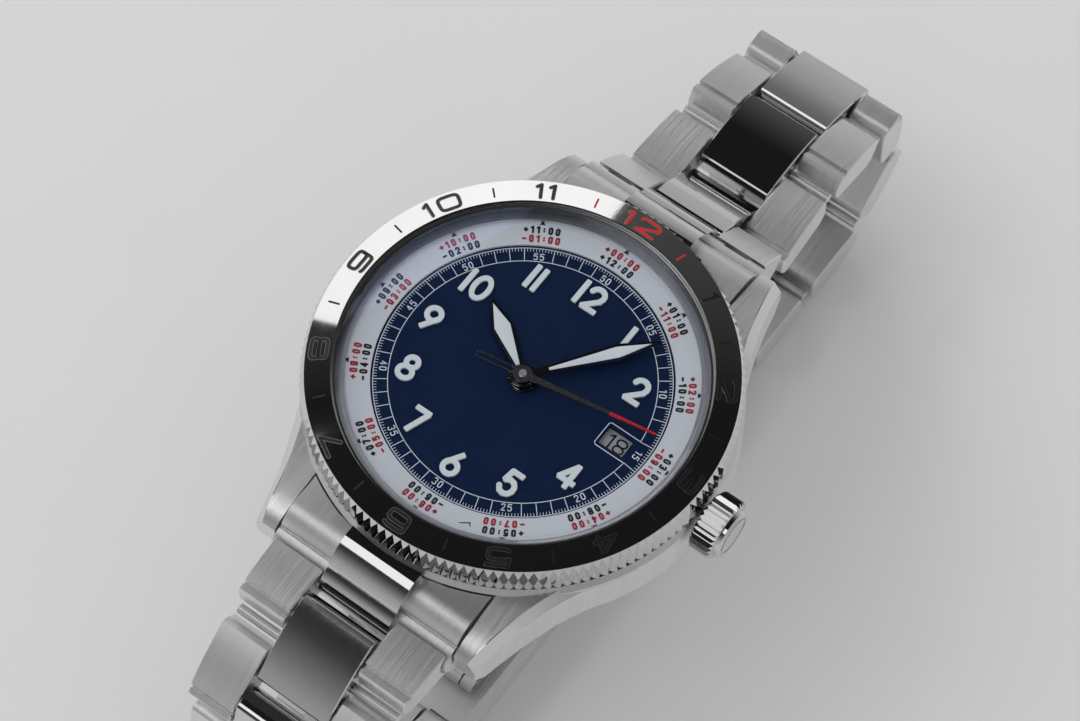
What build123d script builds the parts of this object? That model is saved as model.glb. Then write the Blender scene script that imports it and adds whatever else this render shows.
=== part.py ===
from build123d import *
import os
from math import asin, atan2, cos, degrees, pi, radians, sin

# World time wristwatch on a three-piece link bracelet, in millimetres.
# Origin: centre of the case back's outer face. +Z to the crystal, +Y to twelve, +X to the crown.
os.makedirs("parts", exist_ok=True)

# Overrun of every cut and the clearances shared by mating pieces
overrun = 1.0
press_gap = 0.02
running_gap = 0.05
side_gap = 0.15
link_gap = 0.30

# Case middle
case_r = 20.25
case_bottom_z = 1.2
case_top_z = 6.9
case_edge_chamfer = 0.45
cavity_r = 16.5
lip_step = 0.4
lip_inner_r = cavity_r - lip_step
lip_z = 9.15
crystal_seat_z = 9.4
neck_wall = 0.9
neck_top_z = 10.2
lug_width = 20.0
lug_tip_y = 23.7
lug_tip_wall = 2.3
lug_mid_wall = 4.6
lug_tip_x = lug_width / 2 + lug_tip_wall
lug_mid_x = lug_width / 2 + lug_mid_wall
lug_mid_y = 15.4
lug_root_x = 18.2
lug_root_y = 8.6
lug_top_z = 6.7
lug_tip_top_z = 4.5
lug_slope_y = 13.0
lug_slope_mid_y = 19.5
lug_slope_mid_z = 6.0
lug_tip_bottom_z = 0.7
lug_bottom_y = 15.3
lug_chamfer = 0.8
lug_tip_bevel = 1.2
lug_flank_z = 3.6
recess_depth = 0.9
recess_y = case_r - recess_depth
recess_top_z = 6.2
crown_flat_depth = 0.4
crown_flat_x = case_r - crown_flat_depth
crown_flat_half = 4.2

# Case back and its gasket
back_flange = 1.3
back_r = cavity_r + back_flange
back_t = 1.2
back_neck_h = 1.1
back_neck_wall = 1.0
back_chamfer = 0.5
back_slot_r = 1.1
back_slot_count = 6
back_slot_depth = 0.4
back_slot_in = 1.8
back_slot_ring_r = back_r - back_slot_in
seal_step = 0.2
seal_inner_r = cavity_r + seal_step
seal_wall = 0.7
seal_h = 0.5

# Dial side
dial_z = 8.6
dial_t = 0.4
dial_gap = 0.1
dial_hole_r = 1.25
window_x0 = 9.0
window_x1 = 11.65
window_half = 0.95
offset_ring_w = 2.72
ring_inner_r = cavity_r - offset_ring_w
ring_inner_h = 0.25
ring_outer_h = 0.5
numeral_ring_r = 10.4
numeral_h = 2.85
numeral_w = 1.85
numeral_stroke = 0.52
numeral_corner_r = 0.1
numeral_t = 0.22
numeral_space = 0.28
stroke_end_share = 0.35
narrow_share = 0.3
bow_bars = 8

# Crystal
crystal_seat_w = 0.4
crystal_r = cavity_r + crystal_seat_w
crystal_base_z = 9.45
crystal_rim_z = 10.95
crystal_rim_chamfer = 0.45
crystal_dome = 0.95
crystal_foot_w = 1.3
crystal_under_r = crystal_r - crystal_foot_w
crystal_under_rise = 0.85
crystal_under_z = 9.65
crystal_seal_wall = 0.2
crystal_seal_top_z = 10.3

# Bezel
bezel_step = 0.15
bezel_r = case_r - bezel_step
bezel_base_gap = 0.2
bezel_bevel = 0.46
bezel_top_r = bezel_r - bezel_bevel
bezel_top_z = 10.48
bezel_crystal_gap = 0.4
bezel_inner_r = crystal_r + bezel_crystal_gap
bezel_inner_z = 10.89
bezel_edge_z = 9.75
bezel_skirt_z = 7.6
bezel_skirt_step = 0.4
bezel_skirt_r = bezel_r - bezel_skirt_step
bezel_lip_z = 10.4
bezel_neck_gap = 0.2
tooth_count = 142
tooth_depth = 0.44

# Hands, pointing as they are shown
hour_angle = 303.6
minute_angle = 38.2
second_angle = 80.4
hour_len = 9.0
hour_wide = 2.06
hour_wide_share = 0.61
hour_base_w = 0.56
hour_hand_z = 8.98
hour_hub_r = 1.36
minute_len = 13.35
minute_wide = 1.72
minute_wide_share = 0.67
minute_base_w = 0.42
minute_hand_z = 9.36
minute_hub_r = 1.15
second_len = 13.4
second_tail = 4.75
second_w = 0.66
second_tip_w = 0.15
second_frame_len = 4.08
second_frame_w = 0.66
second_wall = 0.13
second_hand_z = 9.74
second_hub_r = 0.86
hand_t = 0.17
hub_cap_h = 0.18
hub_cap_r = 0.34

# Movement levels and plates
movement_r = 13.0
holder_base_z = 3.2
plate_base_z = 5.5
plate_top_z = 7.5
bridge_base_z = 2.4
bridge_top_z = 2.95
bridge_r = 12.7
pillar_r = 0.8
pillar_ring_r = 12.0
pillar_angles = (30, 200, 330)
screw_r = 0.3
screw_head_r = 0.62
screw_head_h = 0.3
screw_grip = 0.5
screw_slot_w = 0.14
arbor_r = 0.2
arbor_base_z = 2.6
arbor_grip = 0.3
tip_gap = 0.05
wheel_t = 0.15
tooth_pitch = 0.62
gear_tooth_depth = 0.22
least_teeth = 6
pinion_depth_share = 0.25

# Going train: tip radii, levels and directions between the wheels
fourth_r = 3.0
fourth_pinion_r = 0.55
fourth_z = 3.05
third_r = 2.9
third_pinion_r = 0.55
third_z = 3.62
great_r = 3.2
great_pinion_r = 0.85
great_z = 3.32
drum_r = 4.8
drum_tooth_r = 5.2
drum_z = 3.95
drum_h = 1.35
drum_tooth_z = 4.0
escape_r = 1.9
escape_pinion_r = 0.5
escape_z = 3.95
third_angle = 20
great_angle = 100
drum_angle = 170
escape_angle = -60
fork_angle = -75
fork_reach = 2.75
fork_arbor_top_z = 4.3
fork_w = 0.35
fork_arm = 1.1
balance_angle = -110
balance_reach = 3.1
balance_r = 3.6
balance_rim = 0.45
balance_spoke_w = 0.4
balance_z = 4.5
balance_h = 0.4
roller_r = 0.7
hairspring_z = 5.05
hairspring_h = 0.15
hairspring_w = 0.07
hairspring_pitch = 0.27
hairspring_turns = 7
hairspring_marks = 24
collet_r = 0.5

# Motion work under the dial
cannon_bore_r = 0.24
cannon_r = 0.6
cannon_tooth_r = 0.95
cannon_z = 7.55
cannon_tooth_h = 0.25
cannon_top_z = 9.58
hour_pipe_r = 1.0
hour_pipe_top_z = 9.2
hour_wheel_r = 3.1
hour_wheel_z = 7.9
hour_wheel_t = 0.2
minute_wheel_r = 2.6
minute_wheel_angle = 120
post_r = 0.3
post_top_z = 8.12

# Date disc
disc_inner_r = 8.4
disc_outer_r = 12.45
disc_z = 7.75
disc_t = 0.25

# Rotor and its bearing
rotor_r = 12.6
rotor_base_z = 1.5
rotor_t = 0.7
rotor_rim = 2.6
rotor_web_t = 0.4
rotor_hub_r = 1.9
bearing_r = 1.5
bearing_base_z = 1.45

# Crown, stem and tube
stem_z = 5.3
stem_r = 0.5
stem_inner_x = 9.5
stem_square = 0.74
crown_gap = 0.15
crown_len = 2.95
crown_x0 = case_r + crown_gap
crown_x1 = crown_x0 + crown_len
crown_r = 3.05
crown_flutes = 30
crown_flute_depth = 0.32
crown_chamfer = 0.3
crown_boss_r = 2.45
crown_boss_h = 0.55
crown_boss_bevel = 0.2
crown_groove_r = 1.95
crown_groove_w = 0.2
crown_groove_depth = 0.12
crown_bore_r = 1.85
crown_end_wall = 1.05
crown_bore_x = crown_x1 - crown_end_wall
tube_r = 1.2
tube_bore_r = 0.6
tube_end_gap = 1.55
tube_x0 = cavity_r + dial_gap
tube_x1 = crown_x1 - tube_end_gap
crown_seal_in = 0.45
crown_seal_x = crown_x0 + crown_seal_in
crown_seal_w = 0.6
sleeve_x0 = 9.7
sleeve_x1 = 11.5
sleeve_r = 1.05
stem_tunnel_r = 1.3

# Bracelet: one pitch carries an outer pair and a centre link, half a pitch apart
half_pitch = 5.0
pitch = 2 * half_pitch
first_reach = 5.2
link_t = 3.6
centre_end_r = 2.05
lip_end_r = 1.9
plain_end_r = 1.2
link_corner_r = 1.3
link_crown_rise = 0.45
lip_groove_w = 0.4
lip_groove_depth = 0.25
lip_drop = 0.55
lip_len = 1.15
centre_half = 3.95
lane_gap = 0.2
pin_r = 0.5
pin_blind = 1.2
cross_pin_r = 0.5
cross_pin_in = 0.4
link_edge_chamfer = 0.12
outer_step = 0.1
outer_half_last = 8.0
taper_rows = 4
knuckle_x0 = 5.55
knuckle_x1 = 7.85
knuckle_r = 1.1
knuckle_neck_t = 1.4
knuckle_neck_len = 2.9

# End links
end_half = lug_width / 2 - side_gap
outer_half_first = end_half - outer_step
end_pivot_y = 22.9
end_pivot_z = 2.9
end_lip_r = 1.9
end_top_z = 6.35
end_bend_y = 20.4
end_fall_y = 21.98
end_fall_z = 5.98
end_groove_y = 22.95
end_groove_z = 5.0
end_groove_r = 0.16
end_base_z = 1.4
end_inner_y = 15.0
end_raise_half = 3.85
end_raise_y0 = 21.2
end_raise_z0 = 7.35
end_raise_mid_y = 22.85
end_raise_mid_z = 6.5
end_raise_y1 = 24.05
end_raise_z1 = 4.95
end_raise_y2 = 24.3
end_raise_z2 = 4.6
end_nose_r = 2.6
bar_y = 20.75
bar_z = 2.7
bar_r = 0.5
bar_tip_r = 0.35
bar_tip_len = 1.0

# A face this square to X is a link's side
side_share = 0.9

# Lie of the rows at rest, in degrees from level, first outer pair first
twelve_angles = (-38, 0, -22, -80, -134, -180, -180, -180)
six_angles = (0, -34, -80, -126)

# Clasp
clasp_half = 8.6
clasp_wall = 0.8
clasp_floor = 1.0
clasp_wall_top = 1.2
clasp_start = 2.6
clasp_tab_len = 2.0
clasp_bevel = 0.7
blade_half = 6.3
blade_t = 0.8
blade_gap = 0.15
hinge_pin_r = 0.35
hinge_ring_r = 0.75
hinge_mid_half = 4.8
hinge_lane_gap = 0.15
cover_hinge_reach = 38.37
cover_hinge_drop = 0.55
blade_hinge_reach = 6.57
blade_hinge_rise = 0.225
tongue_half = 3.8
tongue_gap = 1.19
blade_slot_w = 4.0
blade_slot_len = 17.0
button_reach = 28.97
button_len = 4.0
button_h = 1.2
button_out = 0.5
button_inner_x = 6.9
button_flange_x = 7.2
button_flange_t = 0.35
button_flange_len = 5.0


def ring(outer_r, inner_r, base_z, height):
    """Flat ring about Z from base_z, height tall."""
    body = disc(outer_r, base_z, height)
    return body - disc(inner_r, base_z - overrun, height + 2 * overrun)


def disc(radius, base_z, height, x=0, y=0):
    """Round plate or pin about a line parallel to Z."""
    return Pos(x, y, base_z + height / 2) * Cylinder(radius, height)


def block(x0, x1, y0, y1, z0, z1):
    """Box between two corners."""
    middle = Pos((x0 + x1) / 2, (y0 + y1) / 2, (z0 + z1) / 2)
    return middle * Box(x1 - x0, y1 - y0, z1 - z0)


def rod(radius, x0, x1, y, z):
    """Round bar along X."""
    return Pos((x0 + x1) / 2, y, z) * Rot(0, 90, 0) * Cylinder(radius, x1 - x0)


def turned(points):
    """Solid of revolution about Z from (radius, z) corners."""
    profile = Plane.XZ * make_face(Polyline(*points, close=True))
    return revolve(profile, Axis.Z, 360)


def side_prism(profile, x0, x1):
    """Side-view profile, drawn in Y and Z, carried along X from x0 to x1."""
    return Pos(x0, 0, 0) * extrude(Plane.YZ * profile, x1 - x0)


def both_sides(solid):
    """A solid and its mirror image across the YZ plane."""
    return [solid, mirror(solid, about=Plane.YZ)]


def polar(radius, clock):
    """Place at a clock angle: degrees clockwise from twelve."""
    return radius * sin(radians(clock)), radius * cos(radians(clock))


def step_to(origin, reach, direction):
    """Point at a distance and a direction in degrees from X."""
    turn = radians(direction)
    return origin[0] + reach * cos(turn), origin[1] + reach * sin(turn)


def save(name, *solids):
    """One sub-part to its own file; several solids stay separate in it."""
    pieces = [piece for shape in solids for piece in shape.solids()]
    whole = pieces[0] if len(pieces) == 1 else Compound(children=pieces)
    whole.label = name
    export_step(whole, f"parts/{name}.step")


# Case middle with four lugs
neck_bore_r = crystal_r + crystal_seal_wall
neck_r = neck_bore_r + neck_wall


def lug_plan():
    """Plan of the lug at twelve on the crown side: straight inner face, bowed outer flank."""
    inner_x = lug_width / 2 + side_gap / 2
    flank = ThreePointArc((lug_tip_x, lug_tip_y), (lug_mid_x, lug_mid_y), (lug_root_x, lug_root_y))
    rest = Polyline((lug_root_x, lug_root_y), (inner_x, 0), (inner_x, lug_tip_y), (lug_tip_x, lug_tip_y))
    return make_face(flank.edges() + rest.edges())


def lug_side():
    """Side view of the lug: level by the case, falling to the tip."""
    top = Spline(
        (lug_slope_y, lug_top_z),
        (lug_slope_mid_y, lug_slope_mid_z),
        (lug_tip_y, lug_tip_top_z),
        tangents=((1, 0), (1, -1)),
    )
    rest = Polyline(
        (lug_tip_y, lug_tip_top_z),
        (lug_tip_y, lug_tip_bottom_z + lug_tip_bevel),
        (lug_tip_y - lug_tip_bevel, lug_tip_bottom_z),
        (lug_slope_mid_y, lug_tip_bottom_z),
        (lug_bottom_y, case_bottom_z),
        (0, case_bottom_z),
        (0, lug_top_z),
        (lug_slope_y, lug_top_z),
    )
    return make_face(top.edges() + rest.edges())


def lug():
    """One lug, with a polished bevel along the top of its outer flank."""
    body = extrude(lug_plan(), case_top_z + overrun) & side_prism(lug_side(), 0, case_r)
    body = body.solids()[0]
    return body.chamfer(lug_chamfer, None, [edge for edge in body.edges() if is_flank_top(edge)])


def is_flank_top(edge):
    """Edges where the lug's top meets its bowed flank."""
    mid = edge.position_at(0.5)
    return mid.Z > lug_flank_z and mid.X > lug_tip_x and edge.length > lug_chamfer


def make_case_middle():
    drum = disc(case_r, case_bottom_z, case_top_z - case_bottom_z)
    drum = chamfer(drum.edges().filter_by(GeomType.CIRCLE), case_edge_chamfer)
    quarter = lug()
    lugs = [quarter, mirror(quarter, about=Plane.XZ)]
    lugs += [mirror(item, about=Plane.YZ) for item in list(lugs)]
    body = drum + disc(neck_r, case_top_z, neck_top_z - case_top_z)
    for item in lugs:
        body += item
    body -= disc(cavity_r, -overrun, lip_z + overrun)
    body -= disc(lip_inner_r, 0, neck_top_z + overrun)
    body -= disc(neck_bore_r, crystal_seat_z, neck_top_z)
    body -= ring(seal_inner_r + seal_wall, seal_inner_r, case_bottom_z - overrun, seal_h / 2 + overrun)
    half = lug_width / 2 + side_gap / 2
    pocket = block(-half, half, recess_y, case_r + overrun, 0, recess_top_z)
    body -= pocket
    body -= mirror(pocket, about=Plane.XZ)
    body -= block(crown_flat_x, case_r + overrun, -crown_flat_half, crown_flat_half, 0, case_top_z + overrun)
    body -= rod(tube_r + press_gap, cavity_r - overrun, case_r + overrun, 0, stem_z)
    hole_depth = lug_width / 2 + bar_tip_len + side_gap
    for y in (bar_y, -bar_y):
        body -= rod(bar_tip_r + running_gap, -hole_depth, hole_depth, y, bar_z)
    save("case_middle", body)


def make_case_back():
    outer = chamfer(disc(back_r, 0, back_t).edges().group_by(Axis.Z)[0], back_chamfer)
    neck_r_outer = cavity_r - running_gap
    neck = ring(neck_r_outer, neck_r_outer - back_neck_wall, back_t, back_neck_h)
    body = outer + neck
    for i in range(back_slot_count):
        x, y = polar(back_slot_ring_r, 360 * i / back_slot_count)
        body -= disc(back_slot_r, -overrun, back_slot_depth + overrun, x, y)
    save("case_back", body)


def make_gaskets():
    seal_clear = running_gap
    seal = ring(seal_inner_r + seal_wall - seal_clear, seal_inner_r + seal_clear, back_t, seal_h / 2)
    save("case_back_gasket", seal)
    ring_r = crystal_r + crystal_seal_wall - press_gap
    height = crystal_seal_top_z - crystal_seat_z
    save("crystal_gasket", ring(ring_r, crystal_r + press_gap, crystal_seat_z, height))


def dome(rim_r, rim_z, rise):
    """Ball whose cap has the given rim radius, rim height and rise."""
    ball_r = (rim_r ** 2 + rise ** 2) / (2 * rise)
    return Pos(0, 0, rim_z + rise - ball_r) * Sphere(ball_r)


def make_crystal():
    blank = disc(crystal_r, crystal_base_z, crystal_rim_z + crystal_dome - crystal_base_z)
    cap_r = crystal_r - crystal_rim_chamfer
    bevel = turned((
        (0, crystal_base_z),
        (crystal_r, crystal_base_z),
        (crystal_r, crystal_rim_z - crystal_rim_chamfer),
        (cap_r, crystal_rim_z),
        (cap_r, crystal_rim_z + crystal_dome + overrun),
        (0, crystal_rim_z + crystal_dome + overrun),
    ))
    body = blank & bevel & dome(cap_r, crystal_rim_z, crystal_dome)
    hollow = disc(crystal_under_r, 0, crystal_under_z) + (
        dome(crystal_under_r, crystal_under_z, crystal_under_rise)
        & disc(crystal_under_r, crystal_under_z, crystal_under_rise + overrun)
    )
    save("crystal", body - hollow)


# Numerals on the dial. Each digit's strokes are shares of a numeral's width and height: straight bars
# from point to point, closed ovals (centre, width, height) and bows (the same, start and sweep)
bar_shares = {
    "0": (),
    "1": ((0, -0.41, 0, 0.41),),
    "2": ((0.3, 0.02, -0.34, -0.4), (-0.34, -0.41, 0.38, -0.41)),
    "4": ((0.16, -0.41, 0.16, 0.41), (0.12, 0.38, -0.38, -0.18), (-0.38, -0.2, 0.42, -0.2)),
    "5": ((0.34, 0.41, -0.2, 0.41), (-0.22, 0.4, -0.3, 0.06)),
    "6": ((-0.33, -0.1, 0.16, 0.4),),
    "7": ((-0.36, 0.41, 0.34, 0.41), (0.32, 0.36, -0.12, -0.41)),
    "8": (),
    "9": ((0.33, 0.1, -0.16, -0.4),),
}
loop_shares = {
    "0": ((0, 0, 0.76, 0.82),),
    "6": ((0, -0.17, 0.72, 0.47),),
    "8": ((0, 0.21, 0.6, 0.38), (0, -0.19, 0.74, 0.43)),
    "9": ((0, 0.17, 0.72, 0.47),),
}
bow_shares = {
    "2": ((0, 0.18, 0.72, 0.45, 170, -200),),
    "5": ((0, -0.14, 0.74, 0.52, 135, -295),),
}


def bar(ax, ay, bx, by):
    """Straight stroke of a numeral, with nearly square ends."""
    start = Vector(ax * numeral_w, ay * numeral_h)
    end = Vector(bx * numeral_w, by * numeral_h)
    middle = (start + end) / 2
    turn = degrees(atan2(end.Y - start.Y, end.X - start.X))
    length = (end - start).length + 2 * stroke_end_share * numeral_stroke
    face = RectangleRounded(length, numeral_stroke, numeral_corner_r)
    return Pos(middle.X, middle.Y) * Rot(0, 0, turn) * face


def link_bar(ax, ay, bx, by):
    """Short round-ended stroke, one of several that make a bow."""
    start = Vector(ax * numeral_w, ay * numeral_h)
    end = Vector(bx * numeral_w, by * numeral_h)
    middle = (start + end) / 2
    turn = degrees(atan2(end.Y - start.Y, end.X - start.X))
    face = SlotCenterToCenter((end - start).length, numeral_stroke)
    return Pos(middle.X, middle.Y) * Rot(0, 0, turn) * face


def loop(cx, cy, width_share, height_share):
    """Closed oval stroke of a numeral."""
    rx = width_share * numeral_w / 2
    ry = height_share * numeral_h / 2
    outer = Ellipse(rx + numeral_stroke / 2, ry + numeral_stroke / 2)
    inner = Ellipse(rx - numeral_stroke / 2, ry - numeral_stroke / 2)
    return Pos(cx * numeral_w, cy * numeral_h) * (outer - inner)


def bow(cx, cy, width_share, height_share, start, sweep):
    """Part of an oval stroke, from a start angle through a sweep in degrees, as short bars."""
    rx = width_share / 2
    ry = height_share / 2
    marks = [radians(start + sweep * i / bow_bars) for i in range(bow_bars + 1)]
    places = [(cx + rx * cos(mark), cy + ry * sin(mark)) for mark in marks]
    return [link_bar(*places[i], *places[i + 1]) for i in range(bow_bars)]


def digit(character):
    """Flat face of one digit, centred."""
    strokes = [bar(*shares) for shares in bar_shares[character]]
    strokes += [loop(*shares) for shares in loop_shares.get(character, ())]
    for shares in bow_shares.get(character, ()):
        strokes += bow(*shares)
    face = strokes[0]
    for stroke in strokes[1:]:
        face += stroke
    return face


def numeral(text):
    """One hour numeral, upright and centred on its place."""
    widths = [numeral_w * (narrow_share if character == "1" else 1) for character in text]
    line = sum(widths) + numeral_space * (len(text) - 1)
    faces = []
    x = -line / 2
    for character, width in zip(text, widths):
        faces.append(Pos(x + width / 2, 0) * digit(character))
        x += width + numeral_space
    return faces


def make_dial():
    plate_r = cavity_r - dial_gap
    plate = disc(plate_r, dial_z - dial_t, dial_t)
    plate -= disc(dial_hole_r, 0, dial_z + overrun)
    plate -= block(window_x0, window_x1, -window_half, window_half, 0, dial_z + overrun)
    save("dial", plate)
    outer_r = cavity_r - dial_gap
    save("offset_ring", turned((
        (ring_inner_r, dial_z),
        (outer_r, dial_z),
        (outer_r, dial_z + ring_outer_h),
        (ring_inner_r, dial_z + ring_inner_h),
    )))
    pieces = []
    for hour in (12, 1, 2, 4, 5, 6, 7, 8, 9, 10, 11):
        x, y = polar(numeral_ring_r, 30 * hour)
        for face in numeral(str(hour)):
            pieces.append(Pos(x, y, dial_z) * extrude(face, numeral_t))
    save("hour_numerals", *pieces)


def star(tip_r, valley_r, count, height):
    """Prism with pointed teeth all round."""
    corners = []
    for i in range(count):
        corners.append(polar(tip_r, 360 * i / count))
        corners.append(polar(valley_r, 360 * (i + 1 / 2) / count))
    return extrude(make_face(Polyline(*corners, close=True)), height)


# Bezel with a toothed edge
def make_bezel():
    base_z = case_top_z + bezel_base_gap
    bore_r = neck_r + bezel_neck_gap
    blank = turned((
        (bore_r, base_z),
        (bezel_skirt_r, base_z),
        (bezel_r, bezel_skirt_z),
        (bezel_r, bezel_edge_z),
        (bezel_top_r, bezel_top_z),
        (bezel_inner_r, bezel_inner_z),
        (bezel_inner_r, bezel_lip_z),
        (bore_r, bezel_lip_z),
    ))
    save("bezel", blank & star(bezel_r, bezel_r - tooth_depth, tooth_count, bezel_inner_z + overrun))


# Hands
def lozenge(length, wide, wide_share, base_w):
    """Hand outline along +Y: narrow at the hub, widest at a share of its length, pointed."""
    return make_face(Polyline(
        (-base_w / 2, 0),
        (-wide / 2, length * wide_share),
        (0, length),
        (wide / 2, length * wide_share),
        (base_w / 2, 0),
        close=True,
    ))


def hand(outline, hub_r, bore_r, base_z, clock):
    """Flat hand with a round hub, turned to its clock angle."""
    face = outline + Circle(hub_r) - Circle(bore_r)
    return Pos(0, 0, base_z) * Rot(0, 0, -clock) * extrude(face, hand_t)


def make_hands():
    hour = lozenge(hour_len, hour_wide, hour_wide_share, hour_base_w)
    save("hour_hand", hand(hour, hour_hub_r, hour_pipe_r + press_gap, hour_hand_z, hour_angle))
    minute = lozenge(minute_len, minute_wide, minute_wide_share, minute_base_w)
    save("minute_hand", hand(minute, minute_hub_r, cannon_r + press_gap, minute_hand_z, minute_angle))
    needle = make_face(Polyline(
        (-second_w / 2, 0),
        (-second_tip_w / 2, second_len),
        (second_tip_w / 2, second_len),
        (second_w / 2, 0),
        close=True,
    ))
    frame_y = -second_tail + second_frame_len / 2
    frame = Pos(0, frame_y) * Rectangle(second_frame_w, second_frame_len)
    hole = Pos(0, frame_y) * Rectangle(second_frame_w - 2 * second_wall, second_frame_len - 2 * second_wall)
    arm_len = second_tail - second_frame_len + second_wall
    arm = Pos(0, -arm_len / 2) * Rectangle(second_w, arm_len)
    body = hand(needle + arm + frame - hole, second_hub_r, arbor_r + press_gap, second_hand_z, second_angle)
    cap = disc(hub_cap_r, second_hand_z + hand_t, hub_cap_h)
    save("seconds_hand", body + cap)


# Wheels of the movement
def gear(tip_r, base_z, height, x, y):
    """Small wheel with pointed teeth at the train's tooth pitch."""
    count = max(least_teeth, round(2 * pi * tip_r / tooth_pitch))
    depth = min(gear_tooth_depth, tip_r * pinion_depth_share)
    corners = []
    for i in range(count):
        corners.append(polar(tip_r, 360 * i / count))
        corners.append(polar(tip_r - depth, 360 * (i + 1 / 2) / count))
    return Pos(x, y, base_z) * extrude(make_face(Polyline(*corners, close=True)), height)


def arbor(x, y, top_z=plate_base_z + arbor_grip):
    """Slim shaft of a train wheel between the bridge and the plate."""
    return disc(arbor_r, arbor_base_z, top_z - arbor_base_z, x, y)


centre = (0, 0)
third_at = step_to(centre, third_r + fourth_pinion_r + tip_gap, third_angle)
great_at = step_to(third_at, great_r + third_pinion_r + tip_gap, great_angle)
drum_at = step_to(great_at, drum_tooth_r + great_pinion_r + tip_gap, drum_angle)
escape_at = step_to(centre, fourth_r + escape_pinion_r + tip_gap, escape_angle)
fork_at = step_to(escape_at, fork_reach, fork_angle)
balance_at = step_to(fork_at, balance_reach, balance_angle)
minute_wheel_at = step_to(centre, cannon_tooth_r + minute_wheel_r + tip_gap, minute_wheel_angle)


def make_train():
    hand_top_z = second_hand_z + hand_t
    fourth = gear(fourth_r, fourth_z, wheel_t, 0, 0)
    fourth += gear(fourth_pinion_r, fourth_z + wheel_t, third_z - fourth_z, 0, 0)
    save("fourth_wheel", fourth + arbor(0, 0, hand_top_z))
    third = gear(third_r, third_z, wheel_t, *third_at)
    third += gear(third_pinion_r, great_z, third_z - great_z, *third_at)
    save("third_wheel", third + arbor(*third_at))
    great = gear(great_r, great_z, wheel_t, *great_at)
    great += gear(great_pinion_r, great_z + wheel_t, drum_tooth_z + wheel_t - great_z, *great_at)
    save("great_wheel", great + arbor(*great_at))
    drum = disc(drum_r, drum_z, drum_h, *drum_at)
    drum += gear(drum_tooth_r, drum_tooth_z, wheel_t, *drum_at)
    save("mainspring_barrel", drum + arbor(*drum_at))
    wheel = gear(escape_r, escape_z, wheel_t, *escape_at)
    wheel += gear(escape_pinion_r, fourth_z, escape_z - fourth_z, *escape_at)
    save("escape_wheel", wheel + arbor(*escape_at))


def make_escapement():
    along = degrees(atan2(fork_at[1] - escape_at[1], fork_at[0] - escape_at[0]))
    lever = Pos(*fork_at) * Rot(0, 0, balance_angle) * Pos(fork_arm / 2, 0) * Rectangle(fork_arm, fork_w)
    yoke = Pos(*fork_at) * Rot(0, 0, along + 90) * Rectangle(2 * fork_arm, fork_w)
    stop_z = escape_z + wheel_t
    body = Pos(0, 0, stop_z + tip_gap) * extrude(lever + yoke, wheel_t)
    save("pallet_fork", body + arbor(*fork_at, fork_arbor_top_z))
    rim = disc(balance_r, balance_z, balance_h, *balance_at)
    rim -= disc(balance_r - balance_rim, 0, plate_base_z, *balance_at)
    spokes = Pos(*balance_at, balance_z + balance_h / 4)
    spokes *= Box(2 * balance_r - balance_rim, balance_spoke_w, balance_h / 2)
    roller = disc(roller_r, fork_arbor_top_z - wheel_t, wheel_t, *balance_at)
    save("balance_wheel", rim + spokes + roller + arbor(*balance_at))
    start_r = collet_r
    count = hairspring_turns * hairspring_marks
    points = []
    for i in range(count + 1):
        turn = 2 * pi * hairspring_turns * i / count
        radius = start_r + hairspring_pitch * turn / (2 * pi)
        points.append((radius * cos(turn), radius * sin(turn)))
    line = Spline(*points)
    blade = Pos(*balance_at, hairspring_z) * extrude(trace(line, hairspring_w), hairspring_h)
    collet = disc(collet_r, hairspring_z, hairspring_h, *balance_at)
    collet -= disc(arbor_r + press_gap, 0, plate_base_z, *balance_at)
    save("hairspring", blade + collet)


def make_motion_work():
    cannon = disc(cannon_r, cannon_z, cannon_top_z - cannon_z)
    cannon += gear(cannon_tooth_r, cannon_z, cannon_tooth_h, 0, 0)
    save("cannon_pinion", cannon - disc(cannon_bore_r, 0, cannon_top_z + overrun))
    pipe = disc(hour_pipe_r, hour_wheel_z, hour_pipe_top_z - hour_wheel_z)
    pipe += gear(hour_wheel_r, hour_wheel_z, hour_wheel_t, 0, 0)
    save("hour_wheel", pipe - disc(cannon_r + running_gap, 0, cannon_top_z))
    wheel = gear(minute_wheel_r, cannon_z, cannon_tooth_h, *minute_wheel_at)
    save("minute_wheel", wheel - disc(post_r + running_gap, 0, dial_z, *minute_wheel_at))
    save("date_disc", ring(disc_outer_r, disc_inner_r, disc_z, disc_t))


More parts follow.
